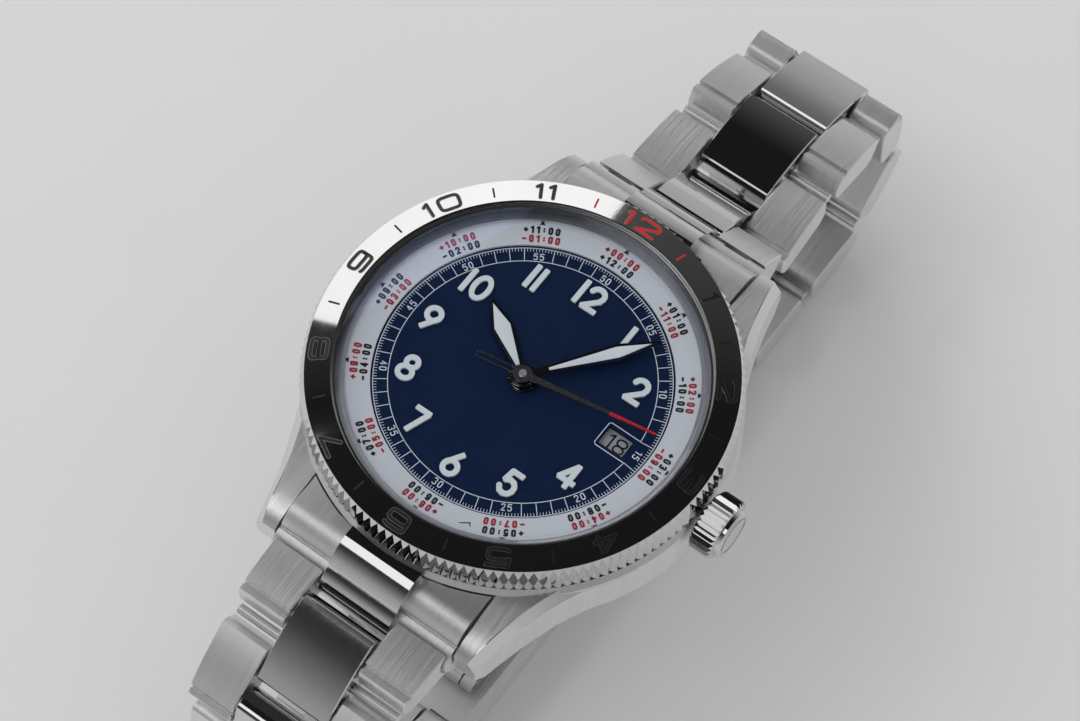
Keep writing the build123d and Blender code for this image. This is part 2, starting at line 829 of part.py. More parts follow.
def make_plates():
    plate = disc(movement_r, plate_base_z, plate_top_z - plate_base_z)
    plate -= disc(cannon_bore_r, 0, dial_z)
    for place in (third_at, great_at, drum_at, escape_at, balance_at):
        plate -= disc(arbor_r + running_gap, 0, plate_base_z + arbor_grip + running_gap, *place)
    plate += disc(post_r, plate_top_z, post_top_z - plate_top_z, *minute_wheel_at)
    plate -= rod(stem_tunnel_r, stem_inner_x - stem_r, movement_r + overrun, 0, stem_z)
    bridge = disc(bridge_r, bridge_base_z, bridge_top_z - bridge_base_z)
    screws = []
    for angle in pillar_angles:
        x, y = step_to(centre, pillar_ring_r, angle)
        pillar = disc(pillar_r, bridge_top_z, plate_base_z - bridge_top_z, x, y)
        bridge += pillar & disc(movement_r, 0, dial_z)
        bridge -= disc(screw_head_r + running_gap, 0, bridge_base_z + screw_head_h, x, y)
        bridge -= disc(screw_r + press_gap, 0, dial_z, x, y)
        plate -= disc(screw_r + press_gap, 0, plate_base_z + screw_grip, x, y)
        screw = disc(screw_head_r, bridge_base_z, screw_head_h, x, y)
        screw += disc(screw_r, bridge_base_z, plate_base_z + screw_grip - bridge_base_z, x, y)
        half = screw_slot_w / 2
        screw -= block(x - screw_head_r, x + screw_head_r, y - half, y + half, 0, bridge_base_z + half)
        screws.append(screw)
    for place in (centre, third_at, great_at, drum_at, escape_at, fork_at, balance_at):
        bridge -= disc(arbor_r + running_gap, arbor_base_z - running_gap, bridge_top_z, *place)
    save("main_plate", plate)
    save("train_bridge", bridge)
    save("bridge_screws", *screws)


def make_movement_ring():
    top_z = dial_z - dial_t
    holder = ring(cavity_r - dial_gap, movement_r + dial_gap, holder_base_z, top_z - holder_base_z)
    holder -= rod(stem_tunnel_r, 0, cavity_r + overrun, 0, stem_z)
    shelf_z = plate_top_z + tip_gap
    shelf = ring(movement_r + 2 * dial_gap, disc_outer_r + link_gap, shelf_z, top_z - shelf_z)
    save("movement_ring", holder + shelf)


def make_rotor():
    full = disc(rotor_r, rotor_base_z, rotor_t)
    web = disc(rotor_r - rotor_rim, rotor_base_z - overrun, rotor_t - rotor_web_t + overrun)
    half = block(-rotor_r - overrun, rotor_r + overrun, -rotor_r - overrun, 0, 0, dial_z)
    body = (full - web) & half
    body += disc(rotor_hub_r, rotor_base_z + rotor_t - rotor_web_t, rotor_web_t)
    save("winding_rotor", body - disc(bearing_r + running_gap, 0, dial_z))
    save("rotor_bearing", disc(bearing_r, bearing_base_z, bridge_base_z - bearing_base_z))


# Crown, stem and tube on the three o'clock side
def make_crown():
    body = rod(crown_r, crown_x0, crown_x1 - crown_boss_h, 0, stem_z)
    body = chamfer(body.edges().filter_by(GeomType.CIRCLE), crown_chamfer)
    ridges = star(crown_r, crown_r - crown_flute_depth, crown_flutes, crown_len)
    body &= Pos(crown_x0, 0, stem_z) * Rot(0, 90, 0) * ridges
    boss = rod(crown_boss_r, crown_x1 - crown_boss_h - crown_chamfer, crown_x1, 0, stem_z)
    boss = chamfer(boss.edges().filter_by(GeomType.CIRCLE).group_by(Axis.X)[-1], crown_boss_bevel)
    groove = rod(crown_groove_r, crown_x1 - crown_groove_depth, crown_x1 + overrun, 0, stem_z)
    groove -= rod(crown_groove_r - crown_groove_w, crown_x0, crown_x1 + overrun, 0, stem_z)
    body = body + boss - groove
    body -= rod(crown_bore_r, crown_x0 - overrun, crown_bore_x, 0, stem_z)
    grip_x = crown_bore_x + crown_boss_h
    body -= rod(stem_r + press_gap, crown_x0, grip_x + press_gap, 0, stem_z)
    save("crown", body)
    stem = rod(stem_r, sleeve_x1, grip_x, 0, stem_z)
    half = stem_square / 2
    stem += block(stem_inner_x, sleeve_x1 + overrun, -half, half, stem_z - half, stem_z + half)
    save("winding_stem", stem)
    sleeve = rod(sleeve_r, sleeve_x0, sleeve_x1, 0, stem_z)
    hole = half + running_gap
    sleeve -= block(sleeve_x0 - overrun, sleeve_x1 + overrun, -hole, hole, stem_z - hole, stem_z + hole)
    save("sliding_pinion", sleeve)
    seal = rod(crown_bore_r - press_gap, crown_seal_x, crown_seal_x + crown_seal_w, 0, stem_z)
    seal -= rod(tube_r + running_gap, crown_x0, crown_x1, 0, stem_z)
    save("crown_gasket", seal)
    tube = rod(tube_r, tube_x0, tube_x1, 0, stem_z)
    save("crown_tube", tube - rod(tube_bore_r, tube_x0 - overrun, tube_x1 + overrun, 0, stem_z))


# End links, their pins and the spring bars
def end_wing_profile():
    """Side view of the end link: level by the case, curving down to a groove and a thin round lip."""
    fall = ThreePointArc((end_bend_y, end_top_z), (end_fall_y, end_fall_z), (end_groove_y, end_groove_z))
    rest = Polyline(
        (end_groove_y, end_groove_z),
        (end_pivot_y, end_pivot_z),
        (end_pivot_y, end_base_z),
        (end_inner_y, end_base_z),
        (end_inner_y, end_top_z),
        (end_bend_y, end_top_z),
    )
    face = make_face(fall.edges() + rest.edges()) + Pos(end_pivot_y, end_pivot_z) * Circle(end_lip_r)
    return face - Pos(end_groove_y + end_groove_r, end_pivot_z + end_lip_r) * Circle(end_groove_r)


def end_raise_profile():
    """Side view of the polished raised centre of the end link, with its rounded nose."""
    top = ThreePointArc(
        (end_raise_y0, end_raise_z0), (end_raise_mid_y, end_raise_mid_z), (end_raise_y1, end_raise_z1)
    )
    rest = Polyline(
        (end_raise_y1, end_raise_z1),
        (end_raise_y2, end_raise_z2),
        (end_raise_y2, end_pivot_z),
        (end_pivot_y, end_base_z),
        (recess_y, end_base_z),
        (recess_y, end_raise_z0),
        (end_raise_y0, end_raise_z0),
    )
    return make_face(top.edges() + rest.edges()) + Pos(end_pivot_y, end_pivot_z) * Circle(end_nose_r)


def knuckle_notch():
    """Side view of the notch in the end link that a knuckle of the first pair turns in."""
    notch_r = knuckle_r + link_gap
    mouth = make_face(Polyline(
        (end_pivot_y - link_gap, end_base_z - overrun),
        (end_pivot_y + notch_r + 2 * overrun, end_base_z - overrun),
        (end_pivot_y + notch_r + 2 * overrun, end_pivot_z + notch_r),
        (end_pivot_y, end_pivot_z + notch_r),
        (end_pivot_y - link_gap, end_pivot_z),
        close=True,
    ))
    return mouth + Pos(end_pivot_y, end_pivot_z) * Circle(notch_r)


def make_end_links():
    body = side_prism(end_wing_profile(), -end_half, end_half)
    body += side_prism(end_raise_profile(), -end_raise_half, end_raise_half)
    nest = block(-end_half, end_half, recess_y + side_gap, case_r + overrun, 0, recess_top_z - side_gap)
    body -= disc(case_r + side_gap, 0, neck_top_z) - nest
    body -= block(-case_r, case_r, 0, recess_y + side_gap, -overrun, neck_top_z) & disc(case_r, 0, neck_top_z)
    for notch in both_sides(side_prism(knuckle_notch(), knuckle_x0 - lane_gap, knuckle_x1 + lane_gap)):
        body -= notch
    body -= rod(pin_r + press_gap, -end_half, end_half, end_pivot_y, end_pivot_z)
    body -= rod(bar_r + press_gap, -end_half - overrun, end_half + overrun, bar_y, bar_z)
    bar_half = lug_width / 2
    spring_bar = rod(bar_r, -end_half, end_half, bar_y, bar_z)
    spring_bar += rod(bar_tip_r, -bar_half - bar_tip_len, bar_half + bar_tip_len, bar_y, bar_z)
    pin_half = end_half - side_gap
    pin = rod(pin_r, -pin_half, pin_half, end_pivot_y, end_pivot_z)
    save("end_link_twelve", body)
    save("end_link_six", mirror(body, about=Plane.XZ))
    save("spring_bars", spring_bar, mirror(spring_bar, about=Plane.XZ))
    save("end_link_pins", pin, mirror(pin, about=Plane.XZ))


# Links: side-view profiles over two pins, drawn along +Y from the first pin
def link_profile(length, near_r, far_r):
    """Crowned bar with rounded corners, reaching past its pins by near_r and far_r."""
    reach = near_r + length + far_r
    middle = (length + far_r - near_r) / 2
    crown_radius = ((reach / 2) ** 2 + link_crown_rise ** 2) / (2 * link_crown_rise)
    vault = Pos(middle, link_t / 2 - crown_radius) * Circle(crown_radius)
    return Pos(middle, 0) * RectangleRounded(reach, link_t, link_corner_r) & vault


def cut_lip(face, pin_y, toward):
    """Groove across a link's top at its lip end, and the lower lip beyond it."""
    groove_y = pin_y + toward * (lip_end_r - lip_len)
    lip_mid = groove_y + toward * lip_end_r / 2
    top = link_t / 2 - lip_drop
    face -= Pos(lip_mid, top + link_t / 2) * Rectangle(lip_end_r, link_t)
    groove = Rectangle(lip_groove_w, 2 * lip_groove_depth)
    return face - Pos(groove_y + toward * lip_groove_w / 2, top) * groove


def outer_half_at(row, share):
    """Half width over the outer links, tapering over the first rows."""
    step = (outer_half_first - outer_half_last) / taper_rows
    return max(outer_half_last, outer_half_first - step * (row + share))


def taper_plan(row, start, end):
    """Plan that trims an outer pair to the bracelet's taper."""
    wide = outer_half_at(row, 0)
    slim = outer_half_at(row, 1)
    return make_face(Polyline((-wide, start), (wide, start), (slim, end), (-slim, end), close=True))


def bevelled(solid):
    """Small bevel around both side faces of a link."""
    sides = [face for face in solid.faces() if abs(face.normal_at(face.center()).X) > side_share]
    return solid.chamfer(link_edge_chamfer, None, [edge for face in sides for edge in face.edges()])


def outer_pair(row, twelve_side, start):
    """Outer links from a pin at start to the next one, pressed onto both pins."""
    near_r, far_r = (lip_end_r, plain_end_r) if twelve_side else (plain_end_r, lip_end_r)
    face = link_profile(half_pitch, near_r, far_r)
    face = cut_lip(face, 0, -1) if twelve_side else cut_lip(face, half_pitch, 1)
    outer = Pos(0, start, 0) * side_prism(face, centre_half + lane_gap, outer_half_first)
    plan = taper_plan(row, start - near_r, start + half_pitch + far_r)
    outer &= Pos(0, 0, -link_t) * extrude(plan, 2 * link_t)
    outer = bevelled(outer.solids()[0])
    pin_half = outer_half_at(row, 1) - pin_blind
    places = (start, start + half_pitch)
    for y in places:
        outer -= rod(pin_r + press_gap, 0, pin_half + press_gap, y, 0)
    return both_sides(outer) + [rod(pin_r, -pin_half, pin_half, y, 0) for y in places]


def first_pair(twelve_side):
    """First outer pair: knuckles turn on the end link's pin, the far pin carries a centre link."""
    far_r = plain_end_r if twelve_side else lip_end_r
    face = link_profile(first_reach, lip_end_r, far_r)
    if not twelve_side:
        face = cut_lip(face, first_reach, 1)
    outer = side_prism(face, centre_half + lane_gap, outer_half_first)
    outer &= Pos(0, 0, -link_t) * extrude(taper_plan(0, -lip_end_r, first_reach + far_r), 2 * link_t)
    outer = bevelled(outer.solids()[0])
    outer -= rod(end_lip_r + link_gap, 0, outer_half_first + overrun, 0, 0)
    outer -= block(0, outer_half_first + overrun, -link_t, knuckle_r, -link_t, link_t)
    neck = Pos(knuckle_neck_len / 2, 0) * Rectangle(knuckle_neck_len, knuckle_neck_t)
    outer += side_prism(Circle(knuckle_r) + neck, knuckle_x0, knuckle_x1)
    outer -= rod(pin_r + running_gap, 0, outer_half_first, 0, 0)
    pin_half = outer_half_at(0, 1) - pin_blind
    outer -= rod(pin_r + press_gap, 0, pin_half + press_gap, first_reach, 0)
    return both_sides(outer) + [rod(pin_r, -pin_half, pin_half, first_reach, 0)]


def centre_link(row, twelve_side, start):
    """Centre link from a pin at start, with the cross pin that shows between two outer pairs."""
    face = link_profile(half_pitch, centre_end_r, centre_end_r)
    link = Pos(0, start, 0) * bevelled(side_prism(face, -centre_half, centre_half).solids()[0])
    near_gap, far_gap = (press_gap, running_gap) if twelve_side else (running_gap, press_gap)
    lane = centre_half + lane_gap
    link -= rod(pin_r + near_gap, -lane, lane, start, 0)
    link -= rod(pin_r + far_gap, -lane, lane, start + half_pitch, 0)
    from_lip = (lip_end_r + half_pitch - plain_end_r) / 2
    y = start + half_pitch - from_lip if twelve_side else start + from_lip
    link -= rod(cross_pin_r + press_gap, -lane, lane, y, 0)
    cross_half = outer_half_at(row, 1 if twelve_side else 0) - cross_pin_in
    return [link, rod(cross_pin_r, -cross_half, cross_half, y, 0)]


def row_solids(row, count, twelve_side):
    """One row along +Y from its pivot: outer pair first on the twelve side, centre link first on six."""
    if not twelve_side:
        if row == 0:
            return first_pair(False)
        return centre_link(row, False, 0) + outer_pair(row, False, half_pitch)
    outers = first_pair(True) if row == 0 else outer_pair(row, True, 0)
    if row == count - 1:
        return outers
    return outers + centre_link(row, True, first_reach if row == 0 else half_pitch)


def row_reach(row, count, twelve_side):
    """Distance from a row's pivot to the next row's."""
    if row == 0:
        return first_reach + half_pitch if twelve_side else first_reach
    return half_pitch if twelve_side and row == count - 1 else pitch


def chain(angles, twelve_side):
    """Pivots of the rows in the YZ plane, starting at the end link's pin."""
    places = [(end_pivot_y, end_pivot_z)]
    for row, angle in enumerate(angles):
        places.append(step_to(places[-1], row_reach(row, len(angles), twelve_side), angle))
    return places


def landing_angle(angles, level):
    """Angle of one more row that brings its far pivot down to a level."""
    drop = chain(angles, False)[-1][1] - level
    return -180 + degrees(asin(drop / pitch))


def make_bracelet(side_name, angles, twelve_side):
    places = chain(angles, twelve_side)
    for row, angle in enumerate(angles):
        y, z = places[row]
        solids = []
        for solid in row_solids(row, len(angles), twelve_side):
            placed = Pos(0, y, z) * Rot(angle, 0, 0) * solid
            solids.append(placed if twelve_side else mirror(placed, about=Plane.XZ))
        save(f"link_row_{side_name}_{row + 1}", *solids)
    return places[-1]


# Clasp, drawn about the level of the last pivots
def clasp_box(x_half, y0, y1, low, high):
    """Box across the clasp, with heights counted from the pivots' level."""
    return block(-x_half, x_half, y0, y1, clasp_z + low, clasp_z + high)


def make_clasp():
    bottom = -link_t / 2
    floor_top = bottom + clasp_floor
    start_y = cover_y + clasp_start
    end_y = cover_hinge_y + hinge_ring_r + side_gap
    shell = clasp_box(clasp_half, start_y, end_y, bottom, clasp_wall_top)
    corners = shell.edges().filter_by(Axis.Y).group_by(Axis.Z)[0]
    shell = chamfer(corners, clasp_bevel)
    shell -= clasp_box(clasp_half - clasp_wall, start_y - overrun, end_y + overrun, floor_top, link_t)
    tab = side_prism(Circle(centre_end_r) & Rectangle(2 * centre_end_r, link_t), -centre_half, centre_half)
    tab = Pos(0, cover_y, clasp_z) * tab
    tab += clasp_box(centre_half, cover_y, start_y + clasp_tab_len, bottom, floor_top)
    lane = hinge_mid_half + hinge_lane_gap
    cover_hinge_z = clasp_z - cover_hinge_drop
    ear = rod(hinge_ring_r, lane, clasp_half - clasp_wall, cover_hinge_y, cover_hinge_z)
    shell = shell + tab + ear + mirror(ear, about=Plane.YZ)
    window_y = cover_hinge_y - hinge_ring_r - side_gap
    shell -= clasp_box(lane, window_y, end_y + overrun, bottom - overrun, link_t)
    inner_half = clasp_half - clasp_wall
    shell -= rod(hinge_pin_r + press_gap, -inner_half, inner_half, cover_hinge_y, cover_hinge_z)
    shell -= rod(pin_r + running_gap, -clasp_half, clasp_half, cover_y, clasp_z)
    half_len = button_len / 2 + side_gap
    shell -= clasp_box(
        clasp_half + overrun, button_y - half_len, button_y + half_len,
        -button_h / 2 - side_gap, button_h / 2 + side_gap,
    )
    save("clasp_cover", shell)
    pin_half = clasp_half - clasp_wall - side_gap
    save("clasp_cover_pin", rod(hinge_pin_r, -pin_half, pin_half, cover_hinge_y, cover_hinge_z))

    low = floor_top + blade_gap
    high = low + blade_t
    knuckle_end = cover_hinge_y - hinge_ring_r - side_gap
    blade_hinge_z = clasp_z + blade_hinge_rise
    wide = clasp_box(blade_half, blade_hinge_y, knuckle_end - side_gap, low, high)
    neck = clasp_box(hinge_mid_half, knuckle_end - overrun, cover_hinge_y, low, high)
    blade = wide + neck + rod(hinge_ring_r, -hinge_mid_half, hinge_mid_half, cover_hinge_y, cover_hinge_z)
    ear = rod(hinge_ring_r, lane, blade_half, blade_hinge_y, blade_hinge_z)
    blade = blade + ear + mirror(ear, about=Plane.YZ)
    slot_end = blade_hinge_y + hinge_ring_r + side_gap
    blade -= clasp_box(lane, blade_hinge_y - overrun, slot_end, -link_t, link_t)
    blade -= rod(hinge_pin_r + running_gap, -blade_half, blade_half, cover_hinge_y, cover_hinge_z)
    blade -= rod(hinge_pin_r + press_gap, -blade_half, blade_half, blade_hinge_y, blade_hinge_z)
    save("clasp_blade_outer", blade)
    save("clasp_blade_pin", rod(hinge_pin_r, -blade_half, blade_half, blade_hinge_y, blade_hinge_z))

    low = high + blade_gap
    high = low + blade_t
    inner = clasp_box(blade_half, blade_hinge_y + hinge_ring_r + side_gap, cover_hinge_y, low, high)
    inner += clasp_box(hinge_mid_half, blade_hinge_y, button_y, low, high)
    inner += rod(hinge_ring_r, -hinge_mid_half, hinge_mid_half, blade_hinge_y, blade_hinge_z)
    inner += clasp_box(tongue_half, button_y, tongue_end_y, low, high)
    slot_y = (blade_hinge_y + cover_hinge_y) / 2
    slot_half = blade_slot_len / 2
    inner -= clasp_box(blade_slot_w / 2, slot_y - slot_half, slot_y + slot_half, 0, link_t)
    inner -= rod(hinge_pin_r + running_gap, -blade_half, blade_half, blade_hinge_y, blade_hinge_z)
    save("clasp_blade_inner", inner)

    outer_x = clasp_half + button_out
    y0 = button_y - button_len / 2
    y1 = button_y + button_len / 2
    z0 = clasp_z - button_h / 2
    z1 = clasp_z + button_h / 2
    stem = block(button_inner_x, outer_x, y0, y1, z0, z1)
    flange_grow = (button_flange_len - button_len) / 2
    flange_x1 = button_flange_x + button_flange_t
    stem += block(button_flange_x, flange_x1, y0 - flange_grow, y1 + flange_grow, z0, z1)
    save("clasp_button_crown_side", stem)
    save("clasp_button_far_side", mirror(stem, about=Plane.YZ))


make_case_middle()
make_case_back()
make_gaskets()
make_crystal()
make_dial()
make_bezel()
make_hands()
make_train()
make_escapement()
make_motion_work()
make_plates()
make_movement_ring()
make_rotor()
make_crown()
make_end_links()
floor_pivot = make_bracelet("twelve", twelve_angles, True)
six_angles += (landing_angle(six_angles, floor_pivot[1]),)
cover_pivot = make_bracelet("six", six_angles, False)
cover_y = -cover_pivot[0]
clasp_z = cover_pivot[1]
cover_hinge_y = cover_y + cover_hinge_reach
blade_hinge_y = cover_y + blade_hinge_reach
button_y = cover_y + button_reach
tongue_end_y = floor_pivot[0] - tongue_gap
make_clasp()
print("twelve side pivots", [tuple(round(v, 3) for v in place) for place in chain(twelve_angles, True)])
print("six side pivots", [tuple(round(v, 3) for v in place) for place in chain(six_angles, False)])
print("train places", third_at, great_at, drum_at, escape_at, fork_at, balance_at, minute_wheel_at)
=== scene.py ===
# %% [markdown]
# # A world time wristwatch, dressed around its measured frame
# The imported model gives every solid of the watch: case, bezel, crystal, dial, hands, movement,
# crown and bracelet. This lesson adds what a machinist's model leaves out, which is the printing,
# the filled engraving, the luminous inserts and the finishes of steel, lacquer and glass.

import bpy
import numpy as np
from mathutils import Matrix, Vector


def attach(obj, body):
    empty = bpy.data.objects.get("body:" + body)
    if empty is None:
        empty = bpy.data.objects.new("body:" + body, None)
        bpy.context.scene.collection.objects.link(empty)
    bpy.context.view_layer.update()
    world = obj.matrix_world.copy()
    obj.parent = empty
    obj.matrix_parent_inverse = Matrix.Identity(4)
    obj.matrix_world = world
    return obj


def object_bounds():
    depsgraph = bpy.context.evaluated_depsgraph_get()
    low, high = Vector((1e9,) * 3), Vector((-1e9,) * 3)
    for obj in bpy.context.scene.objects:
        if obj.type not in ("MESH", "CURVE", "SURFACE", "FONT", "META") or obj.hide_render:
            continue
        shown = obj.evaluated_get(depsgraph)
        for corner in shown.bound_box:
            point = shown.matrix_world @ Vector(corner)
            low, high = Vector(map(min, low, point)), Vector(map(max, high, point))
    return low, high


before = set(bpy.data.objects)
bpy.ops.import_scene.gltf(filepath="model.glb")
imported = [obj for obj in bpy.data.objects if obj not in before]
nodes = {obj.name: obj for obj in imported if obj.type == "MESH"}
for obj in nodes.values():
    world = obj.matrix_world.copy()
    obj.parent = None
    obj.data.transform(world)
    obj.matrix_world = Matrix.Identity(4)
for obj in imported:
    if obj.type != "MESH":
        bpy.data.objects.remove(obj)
cad_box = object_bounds()

# %% [markdown]
# ## Camera
# The photograph was taken from above and slightly from six o'clock, with a long lens. The place and
# the turn below come from fitting a pinhole camera to the round bezel, the lugs and the bracelet.

# %% Set up the camera
MM = 0.001
camera_at = np.array([81.973, -109.386, 282.749])
camera_right = (0.8038, 0.5948, 0.0026)
camera_up = (-0.5318, 0.7166, 0.4513)
camera_back = (0.2666, -0.3642, 0.8924)
lens_mm = 113.295
sensor_mm = 36.0

camera_data = bpy.data.cameras.new("camera")
camera_data.lens = lens_mm
camera_data.sensor_width = sensor_mm
camera_data.clip_start = 0.01
camera = bpy.data.objects.new("camera", camera_data)
bpy.context.scene.collection.objects.link(camera)
turn = Matrix((camera_right, camera_up, camera_back)).transposed().to_4x4()
camera.matrix_world = Matrix.Translation(camera_at * MM) @ turn
bpy.context.scene.camera = camera
print("camera", lens_mm, "mm at", camera_at, "mm")

# %% [markdown]
# ## A small language for materials
# A finish is a formula: brushed steel is polished steel plus fine parallel lines. `Value` wraps a
# socket, so that the formula can be written with plus, minus and times, and each operator adds the
# Math node that it stands for. `Tree` adds any other node by its type, and `Finish` is the tree of one
# material. Its textures are laid on Object coordinates, which stay with a piece when it moves.

# %% Shader maths as Python expressions
class Value:
    """A number that varies over the surface; operators on it add Math nodes."""

    def __init__(self, tree, socket):
        self.tree, self.socket = tree, socket

    def maths(self, operation, *values):
        return self.tree.add("Math", {"operation": operation}, dict(enumerate(values)))

    def __add__(self, other):
        return self.maths("ADD", self, other)

    def __sub__(self, other):
        return self.maths("SUBTRACT", self, other)

    def __rsub__(self, other):
        return self.maths("SUBTRACT", other, self)

    def __mul__(self, other):
        return self.maths("MULTIPLY", self, other)

    def __truediv__(self, other):
        return self.maths("DIVIDE", self, other)

    def __pow__(self, other):
        return self.maths("POWER", self, other)

    def __gt__(self, other):
        return self.maths("GREATER_THAN", self, other)

    def __lt__(self, other):
        return self.maths("LESS_THAN", self, other)

    def size(self):
        return self.maths("ABSOLUTE", self)

    def most(self, other):
        return self.maths("MAXIMUM", self, other)

    __radd__, __rmul__ = __add__, __mul__


class Tree:
    """A node tree being written: one method adds any node."""

    def __init__(self, tree):
        self.tree = tree
        tree.nodes.clear()

    def add(self, kind, settings, inputs, output=0):
        """One node: settings first, then sockets by number or name, given a value or a link."""
        node = self.tree.nodes.new("ShaderNode" + kind)
        for key, value in settings.items():
            if key == "stops":
                self.place_stops(node.color_ramp.elements, value)
            else:
                setattr(node, key, value)
        for key, value in inputs.items():
            self.feed(node.inputs[key], value)
        return Value(self, node.outputs[output])

    def place_stops(self, ramp, stops):
        """A new ramp has two stops; the others are added before all get their place and colour."""
        for _ in stops[2:]:
            ramp.new(1.0)
        for stop, (place, colour) in zip(ramp, stops):
            stop.position, stop.color = place, colour

    def feed(self, socket, value):
        """A wrapped value is linked; anything else is set on the socket."""
        if isinstance(value, Value):
            self.tree.links.new(value.socket, socket)
        else:
            socket.default_value = value


class Finish(Tree):
    """The tree of one material, with its shader and the nodes that most finishes use."""

    def __init__(self, name, shader="BsdfPrincipled", **constants):
        self.material = bpy.data.materials.new(name)
        self.material.use_nodes = True
        super().__init__(self.material.node_tree)
        self.shader = self.tree.nodes.new("ShaderNode" + shader)
        surface = self.tree.nodes.new("ShaderNodeOutputMaterial").inputs[0]
        self.tree.links.new(self.shader.outputs[0], surface)
        self.set(**constants)

    def set(self, **inputs):
        for key, value in inputs.items():
            self.feed(self.shader.inputs[key.replace("_", " ")], value)

    def place(self):
        """Object coordinates as a vector and as x, y and z in metres."""
        vector = self.add("TexCoord", {}, {}, "Object")
        split = self.add("SeparateXYZ", {}, {0: vector})
        axes = [Value(self, split.socket.node.outputs[i]) for i in range(3)]
        return vector, axes

    def grain(self, vector, scale, detail=3.0, rough=0.55):
        """Noise from 0 to 1, with its own stretch along each axis, in cycles per metre."""
        stretched = self.add("VectorMath", {"operation": "MULTIPLY"}, {0: vector, 1: scale})
        return self.add("TexNoise", {}, {"Vector": stretched, "Scale": 1.0, "Detail": detail,
                                         "Roughness": rough})

    def blend(self, share, low, high):
        """Colour between two colours."""
        return self.add("Mix", {"data_type": "RGBA"}, {0: share, 6: low, 7: high}, 2)

    def relief(self, height, depth):
        """Normal from a height field, depth in metres."""
        return self.add("Bump", {}, {"Strength": 1.0, "Distance": depth, "Height": height})


def rgb(r, g, b):
    return (r, g, b, 1.0)


def grey(level):
    return rgb(level, level, level)


METAL = {"Metallic": 1.0, "IOR": 2.2}
finishes = {}
print("shader helpers ready")

# %% [markdown]
# ## Steel, brushed and polished
# The lugs, the end links' wings and the outer links are brushed along the bracelet: fine lines that
# run away from the crown axis, so the height changes quickly along X and slowly along Y and Z.
# The centre links and the bezel are polished, with only hairlines left by the buffing wheel.

# %% Steel finishes
FINE_BRUSH, BROAD_BRUSH = (9000.0, 160.0, 160.0), (2200.0, 70.0, 70.0)
HAIRLINES = (5200.0, 900.0, 900.0)
brush_depth, hairline_depth = 0.00004, 0.0000006
steel_grey, steel_pale = grey(0.66), rgb(0.90, 0.90, 0.89)
polish_grey, polish_pale = grey(0.64), grey(0.72)


def brushed_lines(finish, vector):
    """Height of brushing: broad bands plus fine scratches, both constant along the brush."""
    fine = finish.grain(vector, FINE_BRUSH, detail=4.0, rough=0.7)
    broad = finish.grain(vector, BROAD_BRUSH, detail=2.0)
    return fine * 0.55 + broad * 0.45


def brushed(name, low, high):
    """Brushing that changes colour, roughness and height together, with broad patches of handling."""
    finish = Finish(name, **METAL)
    vector, _ = finish.place()
    lines = brushed_lines(finish, vector)
    soil = finish.grain(vector, (420.0, 420.0, 420.0), detail=4.0)
    finish.set(Base_Color=finish.blend(lines, low, high), Roughness=0.34 + 0.16 * lines + 0.08 * soil,
               Normal=finish.relief(lines, brush_depth))
    finishes[name] = finish.material


def polished(name, low, high, rough=0.05):
    """Mirror with hairlines, a little duller where both the hairlines and a slow cloud are strong."""
    finish = Finish(name, **METAL)
    vector, _ = finish.place()
    hair = finish.grain(vector, HAIRLINES)
    cloud = finish.grain(vector, (260.0, 260.0, 260.0))
    finish.set(Base_Color=finish.blend(cloud, low, high), Roughness=rough + 0.05 * hair * cloud,
               Normal=finish.relief(hair, hairline_depth))
    finishes[name] = finish.material


brushed("brushed_steel", steel_grey, steel_pale)
brushed("machined_steel", grey(0.50), rgb(0.62, 0.62, 0.61))
polished("polished_steel", grey(0.66), polish_pale)
polished("bezel_steel", grey(0.68), grey(0.76), rough=0.03)
print("steel finishes", sorted(finishes))

# %% [markdown]
# One node holds a whole row of the bracelet, whose outer links are brushed and whose centre link is
# polished. The centre link ends 3.95 mm from the middle line, so the distance from the YZ plane says
# which finish a point gets. The end links have a raised polished middle of nearly the same width.

# %% Two finishes on one solid
def two_finishes(name, split_mm):
    """Polished within split_mm of the middle line, brushed outside it."""
    finish = Finish(name, **METAL)
    vector, (x, _, _) = finish.place()
    outer = x.size() > split_mm * MM
    lines = brushed_lines(finish, vector)
    hair = finish.grain(vector, HAIRLINES)
    height = outer * lines + (1 - outer) * 0.02 * hair
    shiny = finish.blend(hair, polish_grey, polish_pale)
    finish.set(Base_Color=finish.blend(outer, shiny, finish.blend(lines, steel_grey, steel_pale)),
               Roughness=outer * (0.35 + 0.16 * lines) + (1 - outer) * (0.05 + 0.04 * hair),
               Normal=finish.relief(height, brush_depth))
    finishes[name] = finish.material


two_finishes("link_steel", 4.05)
two_finishes("end_link_steel", 3.86)
print("two-finish steel for links and end links")

# %% [markdown]
# The case is brushed, except for the broad bevel along each lug, which is polished. The lug's flank
# is an arc of a circle seen from above, so a point belongs to the bevel when it lies within the
# bevel's width of that circle and near the lug's top, which falls away towards the tip.

# %% Case finish with polished lug bevels
lug_points = np.array([(12.3, 23.7), (14.6, 15.4), (18.2, 8.6)])
lug_root_y, lug_fall_y, lug_tip_y = 8.0, 13.0, 23.7
lug_top_z, lug_fall_z, lug_fall_power = 6.7, 2.2, 1.6
bevel_mm, bevel_spare_mm, bevel_drop_mm = 0.8, 0.03, 0.1


def circle_through(points):
    """Centre and radius of the circle through three points, from the equal-distance equations."""
    rows = 2 * (points[1:] - points[0])
    rest = (points[1:] ** 2).sum(axis=1) - (points[0] ** 2).sum()
    centre = np.linalg.solve(rows, rest)
    return centre, float(np.hypot(*(points[0] - centre)))


